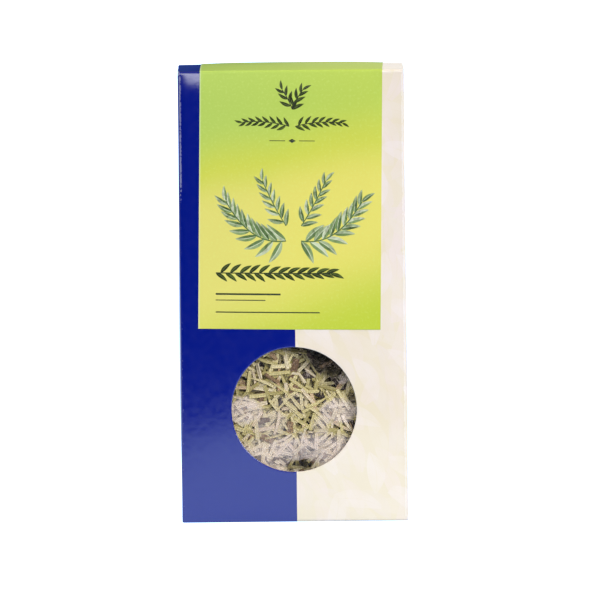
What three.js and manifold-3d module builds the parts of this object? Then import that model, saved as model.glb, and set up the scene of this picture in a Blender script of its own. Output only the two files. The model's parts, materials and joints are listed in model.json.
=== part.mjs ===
/*
 * A carton of dried, cut rosemary: a folding carton with a round window, the paper label that seals its top,
 * the clear film bag inside it and the herb in the bag.
 * Millimetres, +Z up. The front faces -Y, and the origin is the middle of the base.
 */
import * as THREE from "three";
import { mergeVertices } from "three/addons/utils/BufferGeometryUtils.js";
import Module from "manifold-3d";

const wasm = await Module();
wasm.setup();

// Carton, measured outside
const WIDTH = 75;
const DEPTH = 35;
const HEIGHT = 150;
const BOARD = 0.5; // thickness of the folding boxboard
const CREASE = 0.9; // outer radius of a folded crease
const FRONT_BULGE = 1.6; // how far the contents push the front and back panels out
const SIDE_BULGE = 0.5;
const BULGE_POWER = 0.7; // below 1, so that the fullest height is under the middle
const TOP_DOME = 1.3; // how far the closed top rises in its middle
const FLAP_SIDE_GAP = 0.6; // a flap's side edge lies this far inside the carton's outer face
const FLAP_FREE_GAP = 1; // and its free edge this far
const FLAP_OVERLAP = 0.02; // a glued flap sinks this far into the next one
const DUST_FLAP_END = 13; // the side flaps stop this far from the middle
const GLUE_FLAP_FROM = 24; // the glued strip runs from here to the crease
const WINDOW_RADIUS = 20.75;
const WINDOW_HEIGHT = 37.5; // of its centre above the base

// Label
const LABEL_WIDTH = 61;
const LABEL_BOTTOM = 64.2; // of both its ends above the base
const LABEL_THICKNESS = 0.2;
const LABEL_GAP = 0.1;

// Film bag
const FILM = 0.4;
const BAG_BASE = 1.8; // underside of the bag above the carton's base
const BAG_HALF_WIDTH = 36;
const BAG_HALF_DEPTH = 16.3;
const BAG_CORNER = 3;
const BAG_FULL_TO = 72; // height where it starts to draw in
const BAG_FLAT_FROM = 112; // height where it is pressed flat
const BAG_TOP = 140;
const BAG_FLAT_HALF_DEPTH = 0.95;

// Herb
const HEAP_INSET = 1.5; // from the film's inner face to the heap's core
const HEAP_TOP = 66;
const PIECE_WIDTH = 1.35;
const PIECE_THICKNESS = 1.2;
const PIECE_LENGTHS = [4, 9];
const PIECE_PITCH_AT_WINDOW = 3.5;
const PIECE_PITCH_ELSEWHERE = 10;
const SEED = 71;

// Grid lines that the panels, flaps and label share, so that their facets lie parallel
const FLAT_HALF_WIDTH = WIDTH / 2 - CREASE;
const FLAT_HALF_DEPTH = DEPTH / 2 - CREASE;
const COLUMNS = mirrored([DUST_FLAP_END, GLUE_FLAP_FROM, LABEL_WIDTH / 2, FLAT_HALF_WIDTH]);
const ROWS = mirrored([8.5, FLAT_HALF_DEPTH]);
const LEVELS = [12, 28, 46, LABEL_BOTTOM, 84, 106, 130];
const CREASE_STEPS = 2;

function mirrored(half) {
  return [...half.map((v) => -v).reverse(), 0, ...half];
}

// The share of the full bulge at a height: none at the base and the top.
function swell(z) {
  const share = Math.min(Math.max(z / HEIGHT, 0), 1);
  return Math.sin(Math.PI * share ** BULGE_POWER);
}

function frontBulge(x, z) {
  return FRONT_BULGE * swell(z) * (1 - Math.min(1, (x / FLAT_HALF_WIDTH) ** 2));
}

function sideBulge(y, z) {
  return SIDE_BULGE * swell(z) * (1 - Math.min(1, (y / FLAT_HALF_DEPTH) ** 2));
}

function topDome(x, y) {
  return TOP_DOME * (1 - (2 * x / WIDTH) ** 4) * (1 - (2 * y / DEPTH) ** 2);
}

// An indexed geometry with its faces turned outwards.
function closedGeometry(points, triangles) {
  let volume = 0;
  for (const [a, b, c] of triangles) {
    volume += points[a].dot(points[b].clone().cross(points[c]));
  }
  const turned = volume < 0 ? triangles.map(([a, b, c]) => [a, c, b]) : triangles;
  return new THREE.BufferGeometry().setFromPoints(points).setIndex(turned.flat());
}

// Two triangles over a quad. The diagonal is the one that rises in X, Y and Z together, so surfaces on the same
// grid lines get parallel facets.
function splitQuad(points, a, b, c, d) {
  const rise = (from, to) => {
    const { x, y, z } = points[to].clone().sub(points[from]);
    return x * y + y * z + z * x;
  };
  return rise(a, c) > rise(b, d) ? [[a, b, c], [a, c, d]] : [[a, b, d], [b, c, d]];
}

// A closed body lofted through rings of equal length, with a fan over each end.
function loft(rings) {
  const count = rings[0].length;
  const points = rings.flat();
  const triangles = [];
  for (let k = 0; k + 1 < rings.length; k++) {
    for (let i = 0; i < count; i++) {
      const [a, b] = [k * count + i, k * count + ((i + 1) % count)];
      triangles.push(...splitQuad(points, a, b, b + count, a + count));
    }
  }
  for (const k of [0, rings.length - 1]) {
    const middle = new THREE.Vector3();
    rings[k].forEach((p) => middle.addScaledVector(p, 1 / count));
    points.push(middle);
    for (let i = 0; i < count; i++) {
      const [a, b] = [k * count + i, k * count + ((i + 1) % count)];
      triangles.push(k ? [points.length - 1, a, b] : [points.length - 1, b, a]);
    }
  }
  return closedGeometry(points, triangles);
}

// A closed sheet between two grids of points of the same size.
function sheet(outer, inner) {
  const rows = outer.length;
  const columns = outer[0].length;
  const points = [...outer.flat(), ...inner.flat()];
  const at = (side, r, c) => side * rows * columns + r * columns + c;
  const triangles = [];
  const quad = (a, b, c, d) => triangles.push(...splitQuad(points, a, b, c, d));
  for (let r = 0; r + 1 < rows; r++) {
    for (let c = 0; c + 1 < columns; c++) {
      quad(at(0, r, c), at(0, r, c + 1), at(0, r + 1, c + 1), at(0, r + 1, c));
      quad(at(1, r, c), at(1, r + 1, c), at(1, r + 1, c + 1), at(1, r, c + 1));
    }
  }
  const last = [rows - 1, columns - 1];
  for (let r = 0; r < last[0]; r++) {
    quad(at(0, r, 0), at(0, r + 1, 0), at(1, r + 1, 0), at(1, r, 0));
    quad(at(0, r + 1, last[1]), at(0, r, last[1]), at(1, r, last[1]), at(1, r + 1, last[1]));
  }
  for (let c = 0; c < last[1]; c++) {
    quad(at(0, 0, c + 1), at(0, 0, c), at(1, 0, c), at(1, 0, c + 1));
    quad(at(0, last[0], c), at(0, last[0], c + 1), at(1, last[0], c + 1), at(1, last[0], c));
  }
  return closedGeometry(points, triangles);
}

function solidOf(geometry) {
  const bare = geometry.clone();
  bare.deleteAttribute("normal");
  bare.deleteAttribute("uv");
  const merged = mergeVertices(bare, 1e-4);
  return new wasm.Manifold(
    new wasm.Mesh({
      numProp: 3,
      vertProperties: merged.attributes.position.array,
      triVerts: new Uint32Array(merged.index.array),
    }),
  );
}

// One body out of many. Pockets sealed between them are filled and bits that touch nothing are left out.
function fused(solids) {
  const bodies = wasm.Manifold.union(solids).decompose();
  return bodies.reduce((best, body) => (body.volume() > best.volume() ? body : best));
}

function geometryOf(solid) {
  const { vertProperties, triVerts } = solid.getMesh();
  const geometry = new THREE.BufferGeometry();
  geometry.setAttribute("position", new THREE.BufferAttribute(vertProperties, 3));
  geometry.setIndex(new THREE.BufferAttribute(triVerts, 1));
  geometry.computeVertexNormals();
  return geometry;
}

function box(low, high) {
  const size = high.map((v, i) => v - low[i]);
  const middle = high.map((v, i) => (v + low[i]) / 2);
  return solidOf(new THREE.BoxGeometry(...size).translate(...middle));
}

// The carton's outline at a height, anticlockwise seen from above. inset is 0 outside and BOARD inside.
function cartonRing(z, inset) {
  const points = [];
  const faces = [
    { columns: COLUMNS, half: DEPTH / 2, bulge: frontBulge },
    { columns: ROWS, half: WIDTH / 2, bulge: sideBulge },
  ];
  for (let panel = 0; panel < 4; panel++) {
    const { columns, half, bulge } = faces[panel % 2];
    const turn = (panel * Math.PI) / 2;
    for (const across of columns) {
      points.push(onPanel(turn, across, half - inset + bulge(across, z), z));
    }
    const corner = onPanel(turn, columns.at(-1), half - CREASE, z);
    for (let step = 1; step < CREASE_STEPS; step++) {
      const angle = turn - Math.PI / 2 + (step * Math.PI) / 2 / CREASE_STEPS;
      const offset = new THREE.Vector3(Math.cos(angle), Math.sin(angle), 0);
      points.push(corner.clone().addScaledVector(offset, CREASE - inset));
    }
  }
  return points;
}

// A point `across` a panel and `out` from the carton's axis, on the panel turned from the front by `turn`.
function onPanel(turn, across, out, z) {
  return new THREE.Vector3(across, -out, z).applyAxisAngle(new THREE.Vector3(0, 0, 1), turn);
}

// The four walls as one tube.
function walls() {
  const foot = 3 * BOARD - FLAP_OVERLAP;
  const heights = [foot, ...LEVELS, HEIGHT - foot];
  const outer = heights.map((z) => cartonRing(z, 0));
  const inner = heights.map((z) => cartonRing(z, BOARD));
  const tube = solidOf(loft(outer));
  const inside = solidOf(loft([lifted(inner[0], -1), ...inner, lifted(inner.at(-1), 1)]));
  return tube.subtract(inside);
}

function lifted(ring, by) {
  return ring.map((p) => p.clone().setZ(p.z + by));
}

// A closing flap. It leaves its panel over a crease and lies `layer` boards inside the outermost flap's level.
// reach is how far it goes past the carton's axis; a flap that stops short of the axis has a negative reach.
function flap(panel, end, layer, reach) {
  const turn = (panel * Math.PI) / 2;
  const wide = panel % 2 === 0;
  const half = (wide ? DEPTH : WIDTH) / 2;
  const bulge = wide ? frontBulge : sideBulge;
  const flatLines = wide ? ROWS : COLUMNS;
  const sideEdge = (wide ? WIDTH : DEPTH) / 2 - FLAP_SIDE_GAP;
  const across = [-sideEdge, ...(wide ? COLUMNS : ROWS), sideEdge];
  const level = end > 0 ? HEIGHT - layer * BOARD : layer * BOARD;
  const hinge = level - end * CREASE;

  const surface = (inset) => {
    const radius = CREASE - inset;
    const stations = [{ out: half - inset, z: hinge - end * CREASE, upright: true }];
    for (let step = 0; step <= CREASE_STEPS; step++) {
      const angle = (step * Math.PI) / 2 / CREASE_STEPS;
      stations.push({
        out: half - CREASE + radius * Math.cos(angle),
        z: hinge + end * radius * Math.sin(angle),
        upright: step === 0,
      });
    }
    const inward = flatLines.filter((v) => v < half - CREASE && v > -reach).reverse();
    for (const out of [...inward, -reach]) {
      stations.push({ out, z: level - end * inset, upright: false });
    }
    return stations.map(({ out, z, upright }) =>
      across.map((a) => {
        const point = onPanel(turn, a, out + (upright ? bulge(a, z) : 0), z);
        const risen = end > 0 && !upright ? topDome(point.x, point.y) : 0;
        return point.setZ(z + risen);
      }),
    );
  };
  return solidOf(sheet(surface(0), surface(BOARD + FLAP_OVERLAP)));
}

// The strip of the left panel that is glued inside the back panel.
function glueFlap() {
  const columns = COLUMNS.filter((x) => x >= GLUE_FLAP_FROM);
  const heights = [3 * BOARD, ...LEVELS, HEIGHT - 3 * BOARD];
  const surface = (inset) =>
    heights.map((z) => columns.map((a) => onPanel(Math.PI, a, DEPTH / 2 - inset + frontBulge(a, z), z)));
  return solidOf(sheet(surface(BOARD - FLAP_OVERLAP), surface(2 * BOARD)));
}

function carton() {
  const [front, right, back, left] = [0, 1, 2, 3];
  const fullReach = DEPTH / 2 - FLAP_FREE_GAP;
  const pieces = [walls(), glueFlap()];
  for (const end of [-1, 1]) {
    pieces.push(flap(front, end, 0, fullReach), flap(back, end, 1, fullReach));
    for (const side of [right, left]) {
      pieces.push(flap(side, end, 2, -DUST_FLAP_END));
    }
  }
  const windowCut = new THREE.CylinderGeometry(WINDOW_RADIUS, WINDOW_RADIUS, DEPTH / 2, 64)
    .translate(0, -DEPTH / 2, 0)
    .translate(0, 0, WINDOW_HEIGHT);
  return fused(pieces).subtract(solidOf(windowCut));
}

// The paper label, from the front over the closed top to the back.
function label() {
  const columns = COLUMNS.filter((x) => Math.abs(x) <= LABEL_WIDTH / 2);
  const heights = [LABEL_BOTTOM, ...LEVELS.filter((z) => z > LABEL_BOTTOM)];
  const surface = (lift) => {
    const rows = [];
    const wall = (turn, z) =>
      columns.map((x) => onPanel(turn, turn ? -x : x, DEPTH / 2 + lift + frontBulge(x, z), z));
    const bend = (turn, hinge) => {
      for (let step = 0; step <= CREASE_STEPS; step++) {
        const angle = (step * Math.PI) / 2 / CREASE_STEPS;
        const out = FLAT_HALF_DEPTH + (CREASE + lift) * Math.cos(angle);
        const z = hinge + (CREASE + lift) * Math.sin(angle);
        const row = columns.map((x) => onPanel(turn, turn ? -x : x, out, z));
        rows.push(row.map((p) => (step ? p.setZ(p.z + topDome(p.x, p.y)) : p)));
      }
    };
    heights.forEach((z) => rows.push(wall(0, z)));
    bend(0, HEIGHT - CREASE);
    for (const y of ROWS.slice(1, -1)) {
      rows.push(columns.map((x) => new THREE.Vector3(x, y, HEIGHT + lift + topDome(x, y))));
    }
    const backRows = rows.length;
    bend(Math.PI, HEIGHT - CREASE);
    rows.push(...rows.splice(backRows).reverse());
    [...heights].reverse().forEach((z) => rows.push(wall(Math.PI, z)));
    return rows;
  };
  return sheet(surface(LABEL_GAP + LABEL_THICKNESS), surface(LABEL_GAP));
}

// A rounded rectangle, anticlockwise seen from above.
function roundedRing(halfWidth, halfDepth, corner, z, steps = 3) {
  const radius = Math.min(corner, halfDepth * 0.9);
  const points = [];
  for (let quarter = 0; quarter < 4; quarter++) {
    const signX = quarter === 0 || quarter === 3 ? -1 : 1;
    const signY = quarter < 2 ? -1 : 1;
    for (let step = 0; step <= steps; step++) {
      const angle = Math.PI + (quarter + step / steps) * (Math.PI / 2);
      points.push(
        new THREE.Vector3(
          signX * (halfWidth - radius) + radius * Math.cos(angle),
          signY * (halfDepth - radius) + radius * Math.sin(angle),
          z,
        ),
      );
    }
  }
  return points;
}

// Half the bag's depth at a height, outside the film.
function bagHalfDepth(z) {
  const share = THREE.MathUtils.smoothstep(z, BAG_FULL_TO, BAG_FLAT_FROM);
  return THREE.MathUtils.lerp(BAG_HALF_DEPTH, BAG_FLAT_HALF_DEPTH, share);
}

function bag() {
  const heights = [BAG_BASE + 1, 30, BAG_FULL_TO, 82, 92, 102, BAG_FLAT_FROM, BAG_TOP];
  const ring = (z, inset) =>
    roundedRing(BAG_HALF_WIDTH - inset, bagHalfDepth(z) - inset, BAG_CORNER, z);
  const outer = [
    roundedRing(BAG_HALF_WIDTH - 1, BAG_HALF_DEPTH - 1, BAG_CORNER, BAG_BASE),
    ...heights.map((z) => ring(z, 0)),
  ];
  const inner = [
    roundedRing(BAG_HALF_WIDTH - 1, BAG_HALF_DEPTH - 1, BAG_CORNER, BAG_BASE + FILM),
    ...heights.map((z) => ring(z, FILM)),
  ];
  inner.push(lifted(inner.at(-1), 1));
  return solidOf(loft(outer)).subtract(solidOf(loft(inner)));
}

// Numbers from 0 to 1 in a fixed order.
function seeded(seed) {
  let state = seed;
  return () => {
    state = (state + 0x6d2b79f5) | 0;
    let mixed = Math.imul(state ^ (state >>> 15), 1 | state);
    mixed = (mixed + Math.imul(mixed ^ (mixed >>> 7), 61 | mixed)) ^ mixed;
    return ((mixed ^ (mixed >>> 14)) >>> 0) / 4294967296;
  };
}

const HEAP_HALF_WIDTH = BAG_HALF_WIDTH - FILM - HEAP_INSET;
const HEAP_HALF_DEPTH = BAG_HALF_DEPTH - FILM - HEAP_INSET;
const HEAP_BASE = BAG_BASE + FILM + 0.4;

// The heap's surface height over the bag's floor: settled unevenly, lower at the front right.
function heapTop(x, y) {
  const waves = 1.6 * Math.sin(x / 9 + 0.6) + 1.2 * Math.cos(y / 5 + x / 14);
  return HEAP_TOP - 3 + waves - 0.09 * x + 0.12 * y;
}

// The core of the heap, which the pieces stand out of.
function heapCore() {
  const shrunk = [1, 1, 1, 0.86, 0.6, 0.3];
  const rise = [0, 0.5, 0.93, 1, 1, 1];
  return loft(
    shrunk.map((scale, k) =>
      roundedRing(HEAP_HALF_WIDTH * scale, HEAP_HALF_DEPTH * scale, BAG_CORNER, 0, 2).map((p) =>
        p.setZ(HEAP_BASE + rise[k] * (heapTop(p.x, p.y) - HEAP_BASE)),
      ),
    ),
  );
}

// One cut piece of needle: a ridged bar with blunt ends, lying along X with its ridge towards +Z.
function cutPiece(length) {
  const section = new THREE.Shape([
    new THREE.Vector2(-PIECE_WIDTH / 2, -PIECE_THICKNESS / 2),
    new THREE.Vector2(PIECE_WIDTH / 2, -PIECE_THICKNESS / 2),
    new THREE.Vector2(0, PIECE_THICKNESS / 2),
  ]);
  return new THREE.ExtrudeGeometry(section, { depth: length, bevelEnabled: false })
    .translate(0, 0, -length / 2)
    .rotateY(Math.PI / 2);
}

// Where pieces lie: a jittered grid over one face of the heap, with the face's outward normal.
function herbPlaces(random) {
  const places = [];
  const spread = (uRange, vRange, pitch, place) => {
    for (let u = uRange[0] + pitch / 2; u < uRange[1]; u += pitch) {
      for (let v = vRange[0] + pitch / 2; v < vRange[1]; v += pitch) {
        const jitter = () => (random() - 0.5) * pitch * 0.8;
        const found = place(u + jitter(), v + jitter());
        if (found) places.push(found);
      }
    }
  };
  const margin = 3;
  const [w, d] = [HEAP_HALF_WIDTH - margin, HEAP_HALF_DEPTH - margin];
  const heights = [HEAP_BASE + margin, HEAP_TOP - margin];
  const nearWindow = (x, z) => Math.hypot(x, z - WINDOW_HEIGHT) < WINDOW_RADIUS + 1;
  const atWindow = (x, z) =>
    nearWindow(x, z) && { at: new THREE.Vector3(x, -HEAP_HALF_DEPTH, z), normal: [0, -1, 0] };
  spread([-w, w], heights, PIECE_PITCH_AT_WINDOW, atWindow);
  const pitch = PIECE_PITCH_ELSEWHERE;
  const onFront = (x, z) =>
    !nearWindow(x, z) && { at: new THREE.Vector3(x, -HEAP_HALF_DEPTH, z), normal: [0, -1, 0] };
  spread([-w, w], heights, pitch, onFront);
  spread([-w, w], heights, pitch, (x, z) => ({
    at: new THREE.Vector3(x, HEAP_HALF_DEPTH, z),
    normal: [0, 1, 0],
  }));
  for (const side of [-1, 1]) {
    spread([-d, d], heights, pitch, (y, z) => ({
      at: new THREE.Vector3(side * HEAP_HALF_WIDTH, y, z),
      normal: [side, 0, 0],
    }));
  }
  spread([-w, w], [-d, d], pitch, (x, y) => ({
    at: new THREE.Vector3(x, y, heapTop(x, y)),
    normal: [0, 0, 1],
  }));
  return places.filter(({ at, normal }) => normal[2] || at.z < heapTop(at.x, at.y) - margin);
}

function herb() {
  const random = seeded(SEED);
  const solids = [solidOf(heapCore())];
  for (const { at, normal } of herbPlaces(random)) {
    const length = THREE.MathUtils.lerp(...PIECE_LENGTHS, random());
    const face = new THREE.Quaternion().setFromUnitVectors(
      new THREE.Vector3(0, 0, 1),
      new THREE.Vector3(...normal),
    );
    const spin = new THREE.Euler(0, (random() - 0.5) * 0.16, random() * Math.PI, "ZYX");
    const turned = face.multiply(new THREE.Quaternion().setFromEuler(spin));
    const lift = 0.15 + 0.3 * random();
    const piece = cutPiece(length)
      .applyQuaternion(turned)
      .translate(...at.clone().addScaledVector(new THREE.Vector3(...normal), lift));
    solids.push(solidOf(piece));
  }
  return fused(solids);
}

function finish(color, roughness, extra = {}) {
  return new THREE.MeshStandardMaterial({ color, roughness, metalness: 0, ...extra });
}

function named(name, geometry, material) {
  const mesh = new THREE.Mesh(geometry, material);
  mesh.name = name;
  return mesh;
}

const group = new THREE.Group();
group.add(
  named("carton", geometryOf(carton()), finish(0x16267c, 0.35)),
  named("label", label(), finish(0xd8dd70, 0.4)),
  named("film_bag", geometryOf(bag()), finish(0xe8ecec, 0.1, { transparent: true, opacity: 0.3 })),
  named("cut_rosemary", geometryOf(herb()), finish(0xa8a877, 0.8)),
);

export default group;
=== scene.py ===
"""A carton of dried, cut rosemary: its board, paper label, clear bag and herb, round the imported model.

Lengths are in millimetres until a mesh is made, and heights are above the base.
"""

import json
import logging
import math
from dataclasses import dataclass, field
from enum import Enum
from typing import Any, Callable, Sequence

import bmesh
import bpy
import numpy as np
from mathutils import Matrix, Vector, noise

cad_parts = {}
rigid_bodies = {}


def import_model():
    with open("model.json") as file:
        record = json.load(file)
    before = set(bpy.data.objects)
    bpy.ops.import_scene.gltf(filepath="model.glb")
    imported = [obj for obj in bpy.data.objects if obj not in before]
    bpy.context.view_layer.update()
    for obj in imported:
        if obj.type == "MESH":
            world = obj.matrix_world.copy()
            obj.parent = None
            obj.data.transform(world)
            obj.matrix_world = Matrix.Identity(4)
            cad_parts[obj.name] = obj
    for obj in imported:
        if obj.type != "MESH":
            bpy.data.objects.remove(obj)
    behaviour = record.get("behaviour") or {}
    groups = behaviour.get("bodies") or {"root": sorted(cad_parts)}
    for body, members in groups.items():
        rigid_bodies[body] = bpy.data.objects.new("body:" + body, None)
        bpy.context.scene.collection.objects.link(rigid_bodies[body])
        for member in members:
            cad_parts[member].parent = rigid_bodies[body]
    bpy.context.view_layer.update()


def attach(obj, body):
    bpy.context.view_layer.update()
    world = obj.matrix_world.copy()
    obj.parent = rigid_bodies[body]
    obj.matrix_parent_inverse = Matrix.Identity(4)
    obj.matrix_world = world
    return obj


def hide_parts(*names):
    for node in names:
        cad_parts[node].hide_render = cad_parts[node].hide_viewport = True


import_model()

LOG = logging.getLogger("rosemary_carton")
MM = 0.001
BODY = "root"
TINT = "tint"
SHARP = math.radians(40)
WHOLE = 0.999

Point = tuple[float, float, float]
Place = tuple[float, float]
Colour = tuple[float, float, float]
Socket = bpy.types.NodeSocket
Piece = bpy.types.Object
Inputs = dict[Any, Any] | None
Outside = Callable[[Vector, Vector], bool]


def srgb(red: float, green: float, blue: float) -> Colour:
    """The linear light of a display colour, whose parts go from 0 to 255."""
    shares = (c / 255 for c in (red, green, blue))
    return tuple(c / 12.92 if c <= 0.04045 else ((c + 0.055) / 1.055) ** 2.4 for c in shares)


def smoothstep(low: float, high: float, value: float) -> float:
    """Ease from 0 at low to 1 at high."""
    share = min(max((value - low) / (high - low), 0.0), 1.0)
    return share * share * (3 - 2 * share)


def steps(low: float, high: float, pitch: float) -> list[float]:
    """Even stations from low to high, both kept, about a pitch apart."""
    count = max(1, round(abs(high - low) / pitch))
    return [low + (high - low) * i / count for i in range(count + 1)]


class Graph:
    """A node tree that is filled in from code, for materials, the world and Geometry Nodes."""

    def __init__(self, tree: bpy.types.NodeTree) -> None:
        """Empty the tree and take it over."""
        self.tree = tree
        tree.nodes.clear()

    def node(self, kind: str, inputs: Inputs = None, **settings: Any) -> bpy.types.Node:
        """Add a node.

        Args:
            kind: Blender's type name.
            inputs: Values or sockets for its inputs, by name or number.
            **settings: Properties of the node.

        Returns:
            The node.
        """
        made = self.tree.nodes.new(kind)
        for name, value in settings.items():
            setattr(made, name, value)
        for key, value in (inputs or {}).items():
            self.feed(made.inputs[key], value)
        return made

    def out(self, kind: str, inputs: Inputs = None, output: Any = 0, **settings: Any) -> Socket:
        """Add a node and give back the output of that name or number."""
        return self.node(kind, inputs, **settings).outputs[output]

    def feed(self, socket: Socket, value: Any) -> None:
        """Link a socket to others, or set its own value.

        Args:
            socket: The input.
            value: An output, a list of outputs to be linked in turn, or a plain value.
        """
        if isinstance(value, list):
            for item in value:
                self.feed(socket, item)
        elif isinstance(value, Socket):
            self.tree.links.new(value, socket)
        elif isinstance(value, tuple) and socket.type == "RGBA":
            socket.default_value = (*value[:3], 1.0)
        else:
            socket.default_value = value

    def math(self, operation: str, *values: Any, clamp: bool = False) -> Socket:
        """One scalar operation on numbers or sockets."""
        return self.out("ShaderNodeMath", dict(enumerate(values)), operation=operation, use_clamp=clamp)

    def times(self, first: Any, *others: Any) -> Socket:
        """The product of numbers or sockets, taken from left to right."""
        for other in others:
            first = self.math("MULTIPLY", first, other)
        return first

    def line(self, value: Any, factor: Any, offset: Any) -> Socket:
        """A number times a factor, plus an offset."""
        return self.math("MULTIPLY_ADD", value, factor, offset)

    def apart(self, first: Any, second: Any) -> Socket:
        """How far apart two numbers are."""
        return self.math("ABSOLUTE", self.math("SUBTRACT", first, second))

    def vector(self, operation: str, *values: Any) -> Socket:
        """One vector operation; a length comes out as a number."""
        output = "Value" if operation == "LENGTH" else "Vector"
        return self.out("ShaderNodeVectorMath", dict(enumerate(values)), output, operation=operation)

    def scaled(self, vector: Any, factor: Any) -> Socket:
        """A vector times a number."""
        return self.out("ShaderNodeVectorMath", {0: vector, "Scale": factor}, operation="SCALE")

    def parts(self, vector: Any) -> tuple[Socket, ...]:
        """The X, Y and Z of a vector."""
        return tuple(self.node("ShaderNodeSeparateXYZ", {0: vector}).outputs)

    def joined(self, x: Any = 0.0, y: Any = 0.0, z: Any = 0.0) -> Socket:
        """A vector from its X, Y and Z."""
        return self.out("ShaderNodeCombineXYZ", {0: x, 1: y, 2: z})

    def mix(self, factor: Any, first: Any, second: Any, blend: str = "MIX") -> Socket:
        """Blend two colours by a factor."""
        inputs = {0: factor, 6: first, 7: second}
        return self.out("ShaderNodeMix", inputs, 2, data_type="RGBA", blend_type=blend)

    def ramp(self, value: Any, low: float, high: float, start: float = 0.0, end: float = 1.0) -> Socket:
        """Ease a number from start to end as value goes from low to high."""
        inputs = {0: value, 1: low, 2: high, 3: start, 4: end}
        return self.out("ShaderNodeMapRange", inputs, interpolation_type="SMOOTHSTEP")

    def colours(self, value: Any, stops: Sequence[tuple[float, Colour]]) -> Socket:
        """Look a number up in a row of colours.

        Args:
            value: The number, from 0 to 1.
            stops: Each colour with its place in the row.

        Returns:
            The colour.
        """
        made = self.node("ShaderNodeValToRGB", {0: value})
        elements = made.color_ramp.elements
        while len(elements) < len(stops):
            elements.new(1.0)
        for element, (place, colour) in zip(elements, stops):
            element.position = place
            element.color = (*colour, 1.0)
        return made.outputs[0]

    def noise(self, where: Any, scale: float, detail: float = 2.0, flat: bool = False) -> Socket:
        """Soft random grey, from 0 to 1."""
        inputs = {"Vector": where, "Scale": scale, "Detail": detail}
        return self.out("ShaderNodeTexNoise", inputs, noise_dimensions="2D" if flat else "3D")

    def bump(self, height: Any, depth: float, strength: float, under: Any = None) -> Socket:
        """A normal tilted by a height of 0 to 1, for a relief of that depth, over another relief if given."""
        inputs = {"Height": height, "Distance": depth * MM, "Strength": strength}
        return self.out("ShaderNodeBump", inputs if under is None else {**inputs, "Normal": under})

    def surface(self, colour: Any, roughness: Any, normal: Any = None, **more: Any) -> Socket:
        """The surface shader, with its relief if given and more of its inputs by name."""
        if normal is not None:
            more["Normal"] = normal
        return self.out("ShaderNodeBsdfPrincipled", {"Base Color": colour, "Roughness": roughness, **more})

    def attribute(self, name: str) -> Socket:
        """A number that the mesh carries."""
        return self.out("ShaderNodeAttribute", output="Fac", attribute_name=name)

    def object_place(self) -> Socket:
        """The place on the object, in millimetres."""
        return self.scaled(self.out("ShaderNodeTexCoord", output="Object"), 1 / MM)

    def flat_place(self, span: float = 1.0) -> Socket:
        """The place on the flat sheet, from the piece's own UV map times the sheet's span."""
        flat = self.out("ShaderNodeUVMap", uv_map=Sheet.UV_NAME)
        return flat if span == 1.0 else self.scaled(flat, span)


class Finish:
    """What a surface is made of. A finish says its name and fills in the node tree."""

    name = "finish"

    def paint(self, graph: Graph) -> Socket:
        """Fill in the tree.

        Args:
            graph: The empty tree.

        Returns:
            The surface shader.
        """
        raise NotImplementedError

    def material(self) -> bpy.types.Material:
        """The finish as a Blender material, made once."""
        name = f"finish_{self.name}"
        made = bpy.data.materials.get(name)
        if made is None:
            made = bpy.data.materials.new(name)
            made.use_nodes = True
            graph = Graph(made.node_tree)
            surface = self.paint(graph)
            graph.node("ShaderNodeOutputMaterial", {"Surface": surface})
        return made


@dataclass(frozen=True)
class LeafLayer:
    """One scatter of tonal leaves in the print on the cream board."""

    cell: float
    half_length: float
    half_width: float
    shift: Place
    lean: float
    spread: float
    tint: Colour
    strength: float
    bow: float = 0.025
    edge: Place = (-0.12, 0.18)

    def mask(self, graph: Graph, place: Any) -> tuple[Socket, Socket]:
        """Draw one leaf in each random cell.

        Args:
            graph: The tree to add to.
            place: The place on the sheet in millimetres.

        Returns:
            How much of a leaf is here, and how far across the leaf it is.
        """
        shifted = graph.vector("ADD", place, (*self.shift, 0.0))
        inputs = {"Vector": graph.scaled(shifted, 1 / self.cell), "Scale": 1.0, "Randomness": 0.75}
        cells = graph.node("ShaderNodeTexVoronoi", inputs, voronoi_dimensions="2D").outputs
        away = graph.vector("SUBTRACT", graph.scaled(shifted, 1 / self.cell), cells["Position"])
        draws = graph.node("ShaderNodeSeparateColor", {0: cells["Color"]}).outputs
        turn = graph.line(draws[0], self.spread, self.lean - self.spread / 2)
        inputs = {"Vector": graph.scaled(away, self.cell), "Angle": turn}
        along, across, _ = graph.parts(graph.out("ShaderNodeVectorRotate", inputs, rotation_type="Z_AXIS"))
        bowed = graph.line(graph.math("POWER", along, 2.0), self.bow, across)
        reach = graph.line(draws[1], 0.5 * self.half_length, 0.6 * self.half_length)
        slim = graph.math("SUBTRACT", 1.0, graph.math("POWER", graph.math("DIVIDE", along, reach), 2.0))
        inside = graph.math("SUBTRACT", graph.times(slim, self.half_width), graph.math("ABSOLUTE", bowed))
        return graph.ramp(inside, *self.edge), bowed


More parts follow.
